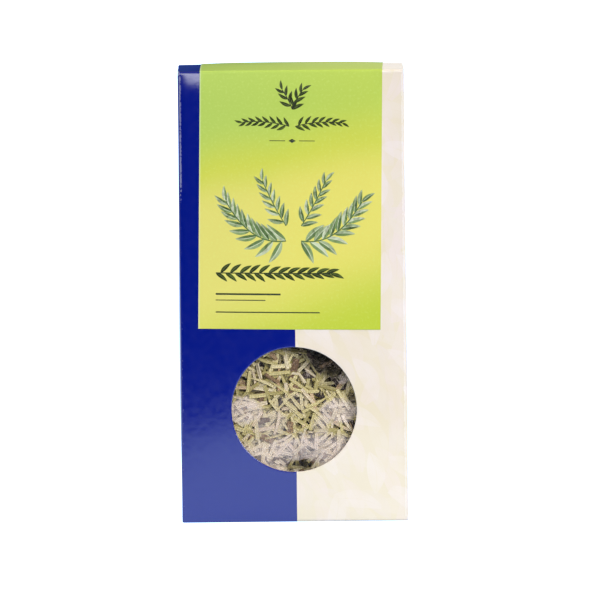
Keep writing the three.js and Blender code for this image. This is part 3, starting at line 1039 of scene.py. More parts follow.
@dataclass
class Carton:
    """The folded blank: four walls, a glued seam, four flaps at each end and the window."""

    form: CartonForm
    pitch: float = 1.5
    bend_steps: int = 5
    window_radius: float = 20.75
    window_height: float = 37.5
    patch: float = 24.0
    patch_rings: int = 5
    ring_gap: float = 0.25
    cut_round: float = 0.22
    cut_turns: tuple[float, ...] = (0.0, 0.3, 0.7, 1.0)
    cut_wear: float = 1.4
    glue_strip: float = 12.0
    seam_gap: float = 0.03
    flap_pitch: float = 0.53
    hem_pitch: float = 0.5
    free_gap: float = 1.0
    overhang: float = 0.65
    dust_end: float = 13.0
    edge_wear: Place = (0.78, 0.2)
    bend_wear: Place = (0.45, 1.2)
    corner_wear: float = 0.8
    corner_step: float = math.radians(15)
    flap_wear: Place = (0.4, 0.5)
    slack: float = 0.01
    sheet: Sheet = field(default_factory=Sheet)
    columns: list[Column] = field(default_factory=list)
    creases: list[range] = field(default_factory=list)
    along: float = 0.0

    @property
    def wall_foot(self) -> float:
        """Where the walls' corner creases end, above the base."""
        return 2 * self.form.board + self.form.crease

    @property
    def patch_ends(self) -> Place:
        """The lowest and highest level of the patch round the window."""
        return (self.window_height - self.patch, self.window_height + self.patch)

    def lay_out(self) -> None:
        """Lay the blank's lines out, from the glued strip round to the back panel's free edge."""
        form = self.form
        inset = form.board + self.seam_gap
        self.lay_panel(Panel.BACK, form.flat_width - self.glue_strip, form.flat_width, inset)
        self.lay_bend(Panel.BACK, inset)
        self.lay_panel(Panel.LEFT, -form.flat_depth + inset, form.flat_depth)
        self.lay_bend(Panel.LEFT)
        self.lay_panel(Panel.FRONT, -form.flat_width, form.flat_width)
        self.lay_bend(Panel.FRONT)
        self.lay_panel(Panel.RIGHT, -form.flat_depth, form.flat_depth)
        self.lay_bend(Panel.RIGHT)
        self.lay_panel(Panel.BACK, -form.flat_width, form.flat_width)

    def lay_panel(self, panel: Panel, low: float, high: float, sunk: float = 0.0) -> None:
        """Add a panel's lines to the blank.

        Args:
            panel: The panel.
            low: Its first line, from the panel's middle.
            high: Its last line.
            sunk: How far it lies in, for the glued strip.
        """
        stations = self.stations(panel, low, high)
        for i, across in enumerate(stations):
            if i:
                self.along += abs(across - stations[i - 1])
            elif self.columns:
                self.along += self.form.bend / self.bend_steps
            wear = self.edge_wear[panel.value % 2] if i in (0, len(stations) - 1) else 0.0

            def where(z: float, turn: int = panel.value, x: float = across) -> Point:
                """The line's point at a height."""
                return self.form.wall(turn, x, z, sunk)

            self.columns.append(Column(self.along, wear, where, None if sunk else panel, across))

    def lay_bend(self, panel: Panel, sunk: float = 0.0) -> None:
        """Add the lines of the crease that follows a panel.

        Args:
            panel: The panel before it.
            sunk: How far that panel lies in.
        """
        form = self.form
        half, end = (form.depth / 2, form.flat_width) if panel.wide else (form.width / 2, form.flat_depth)
        middle = form.on_panel(panel.value, end, half - sunk - form.crease, 0.0)
        self.creases.append(range(len(self.columns) - 1, len(self.columns) + self.bend_steps))
        for step in range(1, self.bend_steps):
            self.along += form.bend / self.bend_steps
            angle = (panel.value - 1 + step / self.bend_steps) * math.pi / 2
            x = middle[0] + form.crease * math.cos(angle)
            y = middle[1] + form.crease * math.sin(angle)
            turned = (self.bend_steps - step if panel.wide else step) / self.bend_steps
            wear = smoothstep(*self.bend_wear, turned)
            self.columns.append(Column(self.along, wear, lambda z, x=x, y=y: (x, y, z)))

    def stations(self, panel: Panel, low: float, high: float) -> list[float]:
        """A panel's lines; the front's keep to the edges of the patch round the window."""
        if panel is not Panel.FRONT:
            return steps(low, high, self.pitch)
        return self.split_steps(low, -self.patch, self.patch, high)

    def split_steps(self, *marks: float) -> list[float]:
        """Stations from the first mark to the last that keep every mark between."""
        made = [marks[0]]
        for low, high in zip(marks, marks[1:]):
            made += steps(low, high, self.pitch)[1:]
        return made

    def walls(self, levels: list[float]) -> list[list[int]]:
        """Add the four walls, all but the patch round the window.

        Args:
            levels: The rows' heights.

        Returns:
            The point numbers by row and column, or -1 inside the patch.
        """
        low, high = self.patch_ends
        columns = self.columns

        def hidden(column: Column, z: float) -> bool:
            """Whether the point lies inside the patch."""
            inside = abs(column.across) < self.patch - self.slack and low + self.slack < z < high - self.slack
            return column.panel is Panel.FRONT and inside

        numbers = [
            [-1 if hidden(c, z) else self.sheet.point(c.where(z), (c.along, z), c.wear) for c in columns]
            for z in levels
        ]
        for j in range(len(levels) - 1):
            for i in range(len(columns) - 1):
                middle = (columns[i].across + columns[i + 1].across) / 2
                level = (levels[j] + levels[j + 1]) / 2
                front = columns[i].panel is Panel.FRONT and columns[i + 1].panel is Panel.FRONT
                if not (front and abs(middle) < self.patch and low < level < high):
                    self.sheet.grid([numbers[j][i : i + 2], numbers[j + 1][i : i + 2]])
        return numbers

    def window(self, levels: list[float], numbers: list[list[int]]) -> None:
        """Fill the square patch with rings that end at the round window.

        Args:
            levels: The rows' heights.
            numbers: The walls' points by row and column.
        """
        reach = self.patch + self.slack
        columns = self.columns
        picked = [i for i, c in enumerate(columns) if c.panel is Panel.FRONT and abs(c.across) < reach]
        rows = [j for j, z in enumerate(levels) if abs(z - self.window_height) < reach]
        around = [(rows[0], i) for i in picked[:-1]] + [(j, picked[-1]) for j in rows[:-1]]
        around += [(rows[-1], i) for i in picked[:0:-1]] + [(j, picked[0]) for j in rows[:0:-1]]
        front = columns[picked[0]].along - columns[picked[0]].across
        rings = [[numbers[j][i] for j, i in around]]
        shares = [(ring / self.patch_rings, self.ring_gap, 0.0) for ring in range(1, self.patch_rings + 1)]
        shares += [(1.0, 0.0, turned) for turned in self.cut_turns]
        for share, apart, turned in shares:
            rings.append([])
            radius = self.window_radius + apart + self.cut_round * (1 - math.sin(turned * math.pi / 2))
            sunk = self.cut_round * (1 - math.cos(turned * math.pi / 2))
            wear = min(1.0, turned * self.cut_wear)
            for j, i in around:
                x, z = columns[i].across, levels[j] - self.window_height
                scale = 1 + share * (radius / math.hypot(x, z) - 1)
                x, z = x * scale, z * scale + self.window_height
                rings[-1].append(self.sheet.point(self.form.wall(0, x, z, sunk), (front + x, z), wear))
        self.sheet.grid(rings, closed=True)

    def flap(self, panel: Panel, top: bool, cut: FlapCut, row: list[int]) -> None:
        """Add a closing flap.

        Args:
            panel: The wall that it hangs on.
            top: At the top, not the base.
            cut: How it is cut.
            row: The walls' last row of points.
        """
        form = self.form
        half = (form.depth if panel.wide else form.width) / 2
        sign = 1 if top else -1
        level = (form.height if top else 0.0) - sign * cut.layer * self.flap_pitch
        hinge = level - sign * form.crease
        start = form.height - self.wall_foot if top else self.wall_foot
        stations = []
        if abs(hinge - start) > self.hem_pitch / 10:
            stations += [(half, z, True) for z in steps(start, hinge, self.hem_pitch)[1:]]
        for step in range(1, self.bend_steps + 1):
            angle = step / self.bend_steps * math.pi / 2
            out = half - form.crease + form.crease * math.cos(angle)
            stations.append((out, hinge + sign * form.crease * math.sin(angle), False))
        edge = half - form.crease
        stations += [(out, level, False) for out in steps(edge, -cut.reach, self.pitch)[1:]]
        picked = [i for i, column in enumerate(self.columns) if column.panel is panel]
        rows = [[row[i] for i in picked]]
        run = 0.0
        last = (half, start)
        for out, z, upright in stations:
            run += math.hypot(out - last[0], z - last[1])
            last = (out, z)
            share = max(0.0, (edge - out) / (edge + cut.reach))
            turned = min(1.0, abs(z - hinge) / form.crease)
            bent = not upright and turned < WHOLE
            worn = self.flap_wear[0] if bent else self.flap_wear[1] * (share > WHOLE)
            spread = self.overhang * (cut.layer == 0) * smoothstep(0.0, 2.0, edge - out) - cut.taper * share
            rows.append([])
            for column in (self.columns[i] for i in picked):
                across = column.across * (1 + spread / form.flat_width)
                bulge = form.bulge(panel.value, across, z) if upright else 0.0
                x, y, height = form.on_panel(panel.value, across, out + bulge, z)
                rise = form.dome(x, y) * turned if top and not upright else 0.0
                flat = (column.along, start + sign * run)
                rows[-1].append(self.sheet.point((x, y, height + rise), flat, worn))
        self.sheet.grid(rows)

    def corner(self, crease: range, top: bool, row: list[int]) -> None:
        """Round an upright crease off at one end, beside the flaps.

        Args:
            crease: The crease's lines of the blank, with its neighbours.
            top: At the top, not the base.
            row: The walls' last row of points.
        """
        form = self.form
        sign = 1 if top else -1
        start = form.height - self.wall_foot if top else self.wall_foot
        hinge = form.wrap_hinge if top else form.crease
        radius = form.crease - self.slack
        foot = [self.columns[i].where(start) for i in crease]
        middle_x = math.copysign(form.flat_width, foot[1][0])
        middle_y = math.copysign(form.flat_depth, foot[1][1])
        angles = [math.atan2(y - middle_y, x - middle_x) for x, y, _ in foot]
        stations = [(z, 0.0) for z in steps(start, hinge, self.hem_pitch)[1:]]
        stations += [(hinge, angle) for angle in steps(0.0, math.pi / 2, self.corner_step)[1:]]
        rows = [[row[i] for i in crease]]
        for z, rise in stations:
            reach, height = radius * math.cos(rise), z + sign * radius * math.sin(rise)
            rows.append([])
            for i, angle in zip(crease, angles):
                where = (middle_x + reach * math.cos(angle), middle_y + reach * math.sin(angle), height)
                rows[-1].append(self.sheet.point(where, (self.columns[i].along, height), self.corner_wear))
        self.sheet.grid(rows)

    def build(self) -> None:
        """Make the board of the whole carton."""
        self.lay_out()
        levels = self.split_steps(self.wall_foot, *self.patch_ends, self.form.height - self.wall_foot)
        numbers = self.walls(levels)
        self.window(levels, numbers)
        full = self.form.depth / 2 - self.free_gap
        dust = FlapCut(2, -self.dust_end, 3.0)
        plan = {
            Panel.FRONT: FlapCut(0, full, 0.4),
            Panel.BACK: FlapCut(1, full, 0.6),
            Panel.RIGHT: dust,
            Panel.LEFT: dust,
        }
        ends = ((False, numbers[0]), (True, numbers[-1]))
        for crease in self.creases:
            for top, row in ends:
                self.corner(crease, top, row)
        for panel, cut in plan.items():
            for top, row in ends:
                self.flap(panel, top, cut, row)
        piece = self.sheet.build("carton_board", facing_from(self.form.middle))
        thicken(piece, self.form.board, inner=1, rim=2)
        dress(piece, "printed_board", PrintedBoard(), BareBoard(), CutBoard())
        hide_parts("carton")


@dataclass
class Label:
    """The paper label, laid a little askew from the front over the top to the back."""

    form: CartonForm
    width: float = 60.4
    aside: float = 0.1
    foot: float = 64.2
    thickness: float = 0.12
    lift: float = 0.2
    curl: float = 0.1
    curl_reach: float = 4.0
    pitch: float = 1.0
    bend_pitch: float = 0.25
    bend_margin: float = 1.0
    skew: float = math.radians(0.95)
    pivot: float = 150.0

    def place(self, across: float, length: float, lift: float) -> Point:
        """A place on the label, turned by its skew.

        Args:
            across: From the label's middle.
            length: Along the label, 0 at the front's foot.
            lift: Off the board.

        Returns:
            The place.
        """
        cos, sin = math.cos(self.skew), math.sin(self.skew)
        away = length - self.pivot
        along = self.pivot + away * cos - across * sin
        return self.form.wrap(self.aside + across * cos + away * sin, along, lift)

    def build(self) -> None:
        """Make the paper."""
        sheet = Sheet()
        total = 2 * (self.form.wrap_hinge + self.form.bend + self.form.flat_depth)
        rows = []
        for length in self.rows(total):
            rows.append([])
            for across in steps(-self.width / 2, self.width / 2, self.pitch):
                near_end = min(length - self.foot, total - self.foot - length)
                curl = self.curl * smoothstep(self.curl_reach, 0.0, near_end)
                curl *= abs(2 * across / self.width) ** 3
                where = self.place(across, length, self.lift + curl)
                rows[-1].append(sheet.point(where, (across, length - self.foot)))
        sheet.grid(rows)
        piece = sheet.build("label_paper", facing_from(self.form.middle))
        thicken(piece, self.thickness, inner=1, rim=1)
        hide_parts("label")
        dress(piece, "label_paper", LabelPaper(), WhitePaper())

    def rows(self, total: float) -> list[float]:
        """The label's lines along its length, closer in the two bends.

        Args:
            total: The whole way up the front, over the top and down the back.

        Returns:
            The lengths.
        """
        hinge = self.form.wrap_hinge
        marks = [self.foot, hinge - self.bend_margin, hinge + self.form.bend + self.bend_margin]
        marks += [total - m for m in reversed(marks)]
        made = [marks[0]]
        for i, (low, high) in enumerate(zip(marks, marks[1:])):
            made += steps(low, high, self.bend_pitch if i % 2 else self.pitch)[1:]
        return made


DENSEST = 1e7
STACKED = 2e-6


class Tree(Graph):
    """A Geometry Nodes tree with named inputs, which ends in real mesh with its finish."""

    def __init__(self, name: str, **kinds: str) -> None:
        """Start a tree, which always has a geometry, a seed and a finish as inputs.

        Args:
            name: Its name.
            **kinds: The names of its other inputs, in one string for each kind of socket.
        """
        super().__init__(bpy.data.node_groups.new(name, "GeometryNodeTree"))
        new_socket = self.tree.interface.new_socket
        new_socket("geometry", in_out="OUTPUT", socket_type="NodeSocketGeometry")
        given = {"Geometry": "geometry", "Int": "seed", "Material": "finish"}
        for kind, titles in [*given.items(), *kinds.items()]:
            for title in titles.split():
                new_socket(title, in_out="INPUT", socket_type=f"NodeSocket{kind}")
        self.given = self.node("NodeGroupInput").outputs

    def draw(self, low: Any, high: Any, seed: int) -> Socket:
        """A random number for each element, from low to high."""
        inputs = {2: low, 3: high, 8: self.math("ADD", self.given["seed"], float(seed))}
        return self.out("FunctionNodeRandomValue", inputs, 1, data_type="FLOAT")

    def turn(self, x: Any = 0.0, y: Any = 0.0, z: Any = 0.0) -> Socket:
        """A rotation from its angles."""
        return self.out("FunctionNodeEulerToRotation", {0: self.joined(x, y, z)})

    def moved(self, points: Any, offset: Any) -> Socket:
        """Points moved by an offset."""
        return self.out("GeometryNodeSetPosition", {"Geometry": points, "Offset": offset})

    def placed(self, points: Any, shape: Any, turn: Any, size: Any, tint: Any, pick: Any = None) -> Socket:
        """Put a shape on each point, with a number of its own that its finish reads.

        Args:
            points: The points.
            shape: The shape, or the shapes to pick from.
            turn: Its rotation.
            size: Its scale.
            tint: Its number.
            pick: Which of the shapes, if there are more.

        Returns:
            The instances.
        """
        inputs = {"Points": points, "Instance": shape, "Rotation": turn, "Scale": size}
        if pick is not None:
            inputs |= {"Pick Instance": True, "Instance Index": pick}
        inputs = {"Geometry": self.out("GeometryNodeInstanceOnPoints", inputs), "Name": TINT, "Value": tint}
        return self.out("GeometryNodeStoreNamedAttribute", inputs, data_type="FLOAT", domain="INSTANCE")

    def finish(self, geometry: Any) -> None:
        """End the tree: real mesh, then its finish."""
        real = self.out("GeometryNodeRealizeInstances", {0: geometry})
        dressed = {"Geometry": real, "Material": self.given["finish"]}
        self.node("NodeGroupOutput", {0: self.out("GeometryNodeSetMaterial", dressed)})

    def grow(self, name: str, base: bpy.types.Mesh, **values: Any) -> Piece:
        """Run the tree on a mesh and keep the result as a plain piece.

        Args:
            name: Name of the piece.
            base: What it grows on.
            **values: The tree's inputs, by name.

        Returns:
            The piece, with no modifier left.
        """
        piece = link(bpy.data.objects.new(name, base))
        modifier = piece.modifiers.new("growth", "NODES")
        modifier.node_group = self.tree
        for title, value in values.items():
            modifier[self.tree.interface.items_tree[title].identifier] = value
        apply_modifiers(piece)
        return piece


def scatter_tree() -> Tree:
    """Strew pieces from a collection over a surface, each turned, tilted and lifted by its own draw."""
    tree = Tree(
        "strewn_pieces",
        Collection="pieces",
        Float="pitch lowest highest darkest palest tilt smallest largest",
    )
    given = tree.given
    inputs = {"Mesh": given["geometry"], "Distance Min": given["pitch"], "Seed": given["seed"]}
    inputs["Density Max"] = DENSEST
    strewn = tree.node("GeometryNodeDistributePointsOnFaces", inputs, distribute_method="POISSON").outputs
    raised = tree.scaled(strewn["Normal"], tree.draw(given["lowest"], given["highest"], 1))
    lean = tree.math("MULTIPLY", given["tilt"], -1.0)
    tilts = [tree.draw(lean, given["tilt"], seed) for seed in (2, 3)]
    inputs = {"Rotation": strewn["Rotation"], "Rotate By": tree.turn(*tilts, tree.draw(0.0, math.tau, 4))}
    turn = tree.out("FunctionNodeRotateRotation", inputs, rotation_space="LOCAL")
    inputs = {"Collection": given["pieces"], "Separate Children": True, "Reset Children": True}
    stock = tree.out("GeometryNodeCollectionInfo", inputs)
    pick = tree.out("FunctionNodeRandomValue", {4: 0, 5: 99, 8: given["seed"]}, 2, data_type="INT")
    size = tree.draw(given["smallest"], given["largest"], 5)
    tint = tree.draw(given["darkest"], given["palest"], 6)
    tree.finish(tree.placed(tree.moved(strewn["Points"], raised), stock, turn, size, tint, pick))
    return tree


def twig_tree() -> Tree:
    """Set leaves by turns on both sides of a bent line, smaller towards its end, over a thin stem."""
    tree = Tree(
        "leafy_line",
        Object="leaf",
        Vector="start middle end",
        Int="leaves",
        Float="length shrink splay stem",
    )
    given = tree.given
    ends = {"Start": given["start"], "Middle": given["middle"], "End": given["end"]}
    line = tree.out("GeometryNodeCurveQuadraticBezier", {"Resolution": 32, **ends})
    inputs = {"Curve": line, "Count": given["leaves"]}
    spots = tree.node("GeometryNodeCurveToPoints", inputs, mode="COUNT").outputs
    ahead = tree.parts(spots["Tangent"])
    number = tree.out("GeometryNodeInputIndex")
    side = tree.line(tree.math("MODULO", number, 2.0), 2.0, -1.0)
    share = tree.math("DIVIDE", number, given["leaves"])
    splay = tree.times(given["splay"], tree.line(share, -0.55, 1.0), tree.draw(0.85, 1.15, 1))
    angle = tree.line(side, splay, tree.math("ARCTAN2", ahead[1], ahead[0]))
    size = tree.times(given["length"], tree.math("SUBTRACT", 1.0, tree.times(share, given["shrink"])))
    points = tree.moved(spots["Points"], tree.joined(z=tree.times(number, STACKED)))
    leaf = tree.out("GeometryNodeObjectInfo", {"Object": given["leaf"]}, "Geometry")
    leaves = tree.placed(points, leaf, tree.turn(z=angle), size, tree.draw(0.0, 1.0, 2))
    section = tree.out("GeometryNodeCurvePrimitiveCircle", {"Resolution": 6, "Radius": given["stem"]})
    stem = tree.out("GeometryNodeCurveToMesh", {"Curve": line, "Profile Curve": section, "Fill Caps": True})
    tree.finish(tree.out("GeometryNodeJoinGeometry", {0: [leaves, stem]}))
    return tree


class CutPiece:
    """One cut piece of the herb, a ring of points carried along its length."""

    length: float
    stations: int

    def ring(self, t: float, x: float) -> list[Point]:
        """The points round the piece at one station.

        Args:
            t: The share of its length, from 0 to 1.
            x: The station's place along the piece.

        Returns:
            The points.
        """
        raise NotImplementedError

    def build(self, name: str) -> Piece:
        """Make the piece along X."""
        sheet = Sheet(span=1.0)
        rows = []
        for i in range(self.stations + 1):
            t = i / self.stations
            x = (t - 0.5) * self.length
            ring = self.ring(t, x)
            rows.append([sheet.point(where, (x, k / len(ring))) for k, where in enumerate(ring)])
        sheet.tube(rows)
        return sheet.build(name)


@dataclass(frozen=True)
class CutLeaf(CutPiece):
    """A cut needle: a narrow blade with rolled edges and a groove along its top, which is towards +Z."""

    length: float
    width: float
    thickness: float
    bow: float = 0.0
    curve: float = 0.0
    twist: float = 0.0
    tip: float = 0.85
    stations: int = 8
    tip_from: float = 0.35
    heel: float = 0.12
    heel_to: float = 0.25

    UPPER = ((-0.5, -0.1), (-0.36, 0.34), (0.0, 0.14), (0.36, 0.34), (0.5, -0.1))
    LOWER = ((0.26, -0.34), (0.0, -0.12), (-0.26, -0.34))

    def ring(self, t: float, x: float) -> list[Point]:
        """The blade's section, tapered, twisted and bent."""
        taper = 1 - (1 - self.tip) * smoothstep(self.tip_from, 1.0, t)
        taper -= self.heel * smoothstep(self.heel_to, 0.0, t)
        cos, sin = math.cos(self.twist * (t - 0.5)), math.sin(self.twist * (t - 0.5))
        arch = 1 - 4 * (t - 0.5) ** 2
        made = []
        for across, up in self.UPPER + self.LOWER:
            y, z = across * self.width * taper, up * self.thickness * (0.5 + 0.5 * taper)
            made.append((x, y * cos - z * sin + self.curve * arch, y * sin + z * cos + self.bow * arch))
        return made


@dataclass(frozen=True)
class CutStalk(CutPiece):
    """One bit of woody stalk, round or split, with knots and slanted ends."""

    length: float
    radius: float
    flatness: float = 1.0
    sides: int = 9
    stations: int = 6
    knots: float = 0.22
    slant: float = 0.25

    def ring(self, t: float, x: float) -> list[Point]:
        """The stalk's knotty round."""
        made = []
        for k in range(self.sides):
            cos, sin = math.cos(math.tau * k / self.sides), math.sin(math.tau * k / self.sides)
            knot = 1 + self.knots * noise.noise(Vector((x * 0.9, cos, sin + self.length)))
            slant = self.slant * self.radius * cos if t in (0.0, 1.0) else 0.0
            made.append((x + slant, self.radius * knot * cos, self.radius * knot * self.flatness * sin))
        return made


class Stock:
    """A few shapes that are strewn and then put away."""

    def __init__(self, name: str, shapes: Sequence[CutPiece]) -> None:
        """Make one object of each shape.

        Args:
            name: The name of the collection that holds them.
            shapes: The shapes.
        """
        self.collection = bpy.data.collections.new(name)
        for number, shape in enumerate(shapes):
            piece = shape.build(f"{name}_{number}")
            bpy.context.scene.collection.objects.unlink(piece)
            self.collection.objects.link(piece)

    def clear(self) -> None:
        """Delete the shapes once they are strewn."""
        for piece in list(self.collection.objects):
            bpy.data.objects.remove(piece)
        bpy.data.collections.remove(self.collection)


@dataclass(frozen=True)
class HerbLayer:
    """One strewing of cut pieces: which, how close, how high over the heap's face, and in which tones."""

    name: str
    shapes: tuple[CutPiece, ...]
    pitch: float
    lift: Place
    tones: Place
    tilt: float
    seed: int
    finish: Finish = DriedLeaf()
    all_round: bool = False
    sizes: Place = (0.88, 1.12)

    def strew(self, tree: Tree, base: bpy.types.Mesh) -> Piece:
        """Strew the pieces.

        Args:
            tree: The scatter.
            base: The surface.

        Returns:
            The strewn pieces in one.
        """
        stock = Stock(f"{self.name}_cut", self.shapes)
        piece = tree.grow(
            f"herb_{self.name}",
            base,
            pieces=stock.collection,
            pitch=self.pitch * MM,
            lowest=self.lift[0] * MM,
            highest=self.lift[1] * MM,
            darkest=self.tones[0],
            palest=self.tones[1],
            tilt=self.tilt,
            smallest=self.sizes[0],
            largest=self.sizes[1],
            seed=self.seed,
            finish=self.finish.material(),
        )
        stock.clear()
        return piece


HERB_LAYERS = (
    HerbLayer(
        name="crumbs",
        shapes=(CutLeaf(5.0, 1.3, 0.8, stations=2), CutLeaf(3.6, 1.1, 0.7, twist=0.4, stations=2)),
        pitch=3.0,
        lift=(0.0, 0.6),
        tones=(0.0, 0.8),
        tilt=0.1,
        seed=3,
        all_round=True,
    ),
    HerbLayer(
        name="under_needles",
        shapes=(
            CutLeaf(5.6, 1.35, 0.8, bow=0.3, stations=5),
            CutLeaf(4.4, 1.3, 0.8, twist=0.4, stations=5),
            CutLeaf(6.6, 0.85, 0.6, curve=-0.4, stations=5),
            CutLeaf(3.4, 1.0, 0.6, stations=4),
        ),
        pitch=1.65,
        lift=(0.0, 1.0),
        # Only the darker tones: painted shade under the top needles.
        tones=(0.0, 0.45),
        tilt=0.14,
        seed=7,
    ),
    HerbLayer(
        name="top_needles",
        shapes=(
            CutLeaf(7.4, 1.3, 0.75),
            CutLeaf(8.8, 1.15, 0.7, bow=0.15, curve=0.5, twist=0.4),
            CutLeaf(6.2, 1.4, 0.8, bow=0.1),
            CutLeaf(9.6, 1.05, 0.65, curve=-0.5, tip=0.2),
            CutLeaf(5.2, 1.3, 0.75, tip=0.6),
            CutLeaf(7.0, 0.85, 0.55, curve=0.3),
        ),
        pitch=2.15,
        lift=(1.2, 2.3),
        # Only the paler tones: painted light on the top needles.
        tones=(0.25, 1.0),
        tilt=0.06,
        seed=21,
    ),
    HerbLayer(
        name="stalks",
        shapes=(
            CutStalk(5.5, 0.7),
            CutStalk(7.5, 0.5),
            CutStalk(4.2, 1.05, 0.45),
            CutLeaf(7.0, 2.3, 0.5, bow=0.2, stations=5),
            CutLeaf(4.6, 2.1, 0.5, tip=0.6, stations=4),
        ),
        pitch=7.0,
        lift=(1.0, 2.1),
        tones=(0.0, 1.0),
        tilt=0.08,
        seed=12,
        finish=DriedStalk(),
    ),
)


@dataclass(frozen=True)
class Hollow:
    """A round hollow in the heap's face: its middle, its reach and its depth."""

    x: float
    z: float
    reach: float
    depth: float

    def at(self, x: float, z: float) -> float:
        """How deep the hollow is at a place."""
        return self.depth * math.exp(-((x - self.x) ** 2 + (z - self.z) ** 2) / self.reach**2)


@dataclass
class Herb:
    """The settled heap of cut needles and stalk behind the film."""

    layers: tuple[HerbLayer, ...] = HERB_LAYERS
    window_radius: float = 20.75
    window_height: float = 37.5
    window_margin: float = 3.0
    face: float = 13.4
    half_width: float = 33.0
    foot: float = 3.6
    head: float = 65.0
    corner: float = 3.5
    pitch: float = 1.5
    level_pitch: float = 0.03
    uneven: Place = (0.5, 6.0)
    crumb: Place = (0.025, 2.2)
    foot_rings: tuple[float, ...] = (0.6, 0.2)
    top_rings: tuple[float, ...] = (0.85, 0.65, 0.4, 0.15)
    hollows: tuple[Hollow, ...] = (
        Hollow(12.5, 55.5, 10.0, 10.5),
        Hollow(1.0, 60.0, 6.5, 6.5),
        Hollow(2.6, 18.2, 4.2, 7.5),
        Hollow(-2.6, 17.6, 3.2, 5.5),
        Hollow(-13.0, 51.5, 2.6, 4.0),
        Hollow(1.2, 48.8, 2.0, 5.0),
        Hollow(18.5, 36.5, 2.4, 4.0),
    )

    def recess(self, x: float, z: float) -> float:
        """How far the heap's face lies back, most behind the window's upper right."""
        most, span = self.uneven
        uneven = most * noise.noise(Vector((x / span, z / span, 4.0)))
        return max(hollow.at(x, z) for hollow in self.hollows) + uneven

    def face_patch(self) -> bpy.types.Mesh:
        """The heap's face behind the window, as a surface to strew on."""
        sheet = Sheet()
        reach = self.window_radius + self.window_margin
        rows = []
        for z in steps(self.window_height - reach, self.window_height + reach, self.pitch):
            row = [(x, -self.face + self.recess(x, z), z) for x in steps(-reach, reach, self.pitch)]
            rows.append([sheet.point(where, (where[0], z)) for where in row])
        sheet.grid(rows)
        return take_mesh(sheet.build("heap_face", lambda middle, normal: normal.y < 0))

    def top(self, x: float, y: float) -> float:
        """The heap's height over a place on its floor."""
        return self.head - 3 + 1.8 * math.sin(x / 9 + 0.6) + 1.2 * math.cos(y / 5 + x / 14) - 0.07 * x

    def core(self) -> Piece:
        """The crumbly inside of the heap."""
        sheet = Sheet()
        rows = []
        for share in steps(0.0, 1.0, self.level_pitch):
            rows.append([])
            for x, y in rounded_ring(self.half_width, self.face, self.corner, self.pitch):
                back = self.recess(x, self.foot + share * (self.head - self.foot)) if y < 0 else 0.0
                height = self.foot + share * (self.top(x, y) - self.foot)
                out = 1 + self.crumb[0] * noise.noise(Vector((x, y, height)) / self.crumb[1])
                rows[-1].append(sheet.point((x * out, y * out + back, height), (x, height)))
        sheet.grid(rows, closed=True)
        close_in(sheet, rows[0], self.foot_rings, lambda x, y: self.foot)
        close_in(sheet, rows[-1], self.top_rings, self.top)
        return sheet.build("herb_core")

    def build(self) -> None:
        """Make the heap: its core, the needles and the stalk."""
        tree = scatter_tree()
        core = self.core()
        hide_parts("cut_rosemary")
        dress(core, "dried_herb", HerbShade())
        for layer in self.layers:
            base = core.data.copy() if layer.all_round else self.face_patch()
            dress(layer.strew(tree, base), "dried_herb", layer.finish)


def close_in(sheet: Sheet, rim: list[int], scales: Sequence[float], level: Callable[..., float]) -> None:
    """Close a ring of points with smaller rings and a face in the middle.

    Args:
        sheet: The sheet that it belongs to.
        rim: The ring.
        scales: Each smaller ring's size against the rim.
        level: The height over a place.
    """
    ring = rim
    for scale in scales:
        places = [(sheet.points[number][0] * scale, sheet.points[number][1] * scale) for number in rim]
        inner = [sheet.point((x, y, level(x, y)), (x, y)) for x, y in places]
        sheet.grid([ring, inner], closed=True)
        ring = inner
    sheet.faces.append(tuple(ring))


def rounded_ring(half_width: float, half_depth: float, corner: float, pitch: float) -> list[Place]:
    """A rounded rectangle as points, anticlockwise seen from above.

    Args:
        half_width: Half its size in X.
        half_depth: Half its size in Y.
        corner: The corners' radius.
        pitch: Wanted distance between points.

    Returns:
        The points, the first not repeated.
    """
    radius = min(corner, half_depth * 0.9)
    made: list[Place] = []
    for sign_x, sign_y, start in ((1, -1, -90), (1, 1, 0), (-1, 1, 90), (-1, -1, 180)):
        middle = (sign_x * (half_width - radius), sign_y * (half_depth - radius))
        for angle in steps(math.radians(start), math.radians(start + 90), math.radians(22.5)):
            made.append((middle[0] + radius * math.cos(angle), middle[1] + radius * math.sin(angle)))
        x, y = made[-1]
        along = 2 * ((half_depth if sign_x != sign_y else half_width) - radius)
        heading = math.radians(start + 180)
        for run in steps(0.0, along, pitch)[1:-1]:
            made.append((x + run * math.cos(heading), y + run * math.sin(heading)))
    return made


@dataclass(frozen=True)
class Fold:
    """One set of ridges in the film: how wide they are along each axis, and how much they add."""

    wide_x: float
    wide_y: float
    wide_z: float
    share: float
    shift_x: float = 0.0
    shift_z: float = 0.0
    slant: bool = False

    def height(self, x: float, y: float, z: float) -> float:
        """The ridges' height at a place, sharp along their crests."""
        along, up = (x + z, x - z) if self.slant else (x, z)
        where = (along / self.wide_x + self.shift_x, y / self.wide_y, up / self.wide_z + self.shift_z)
        return self.share * (1 - abs(noise.noise(Vector(where))) * 2.6)


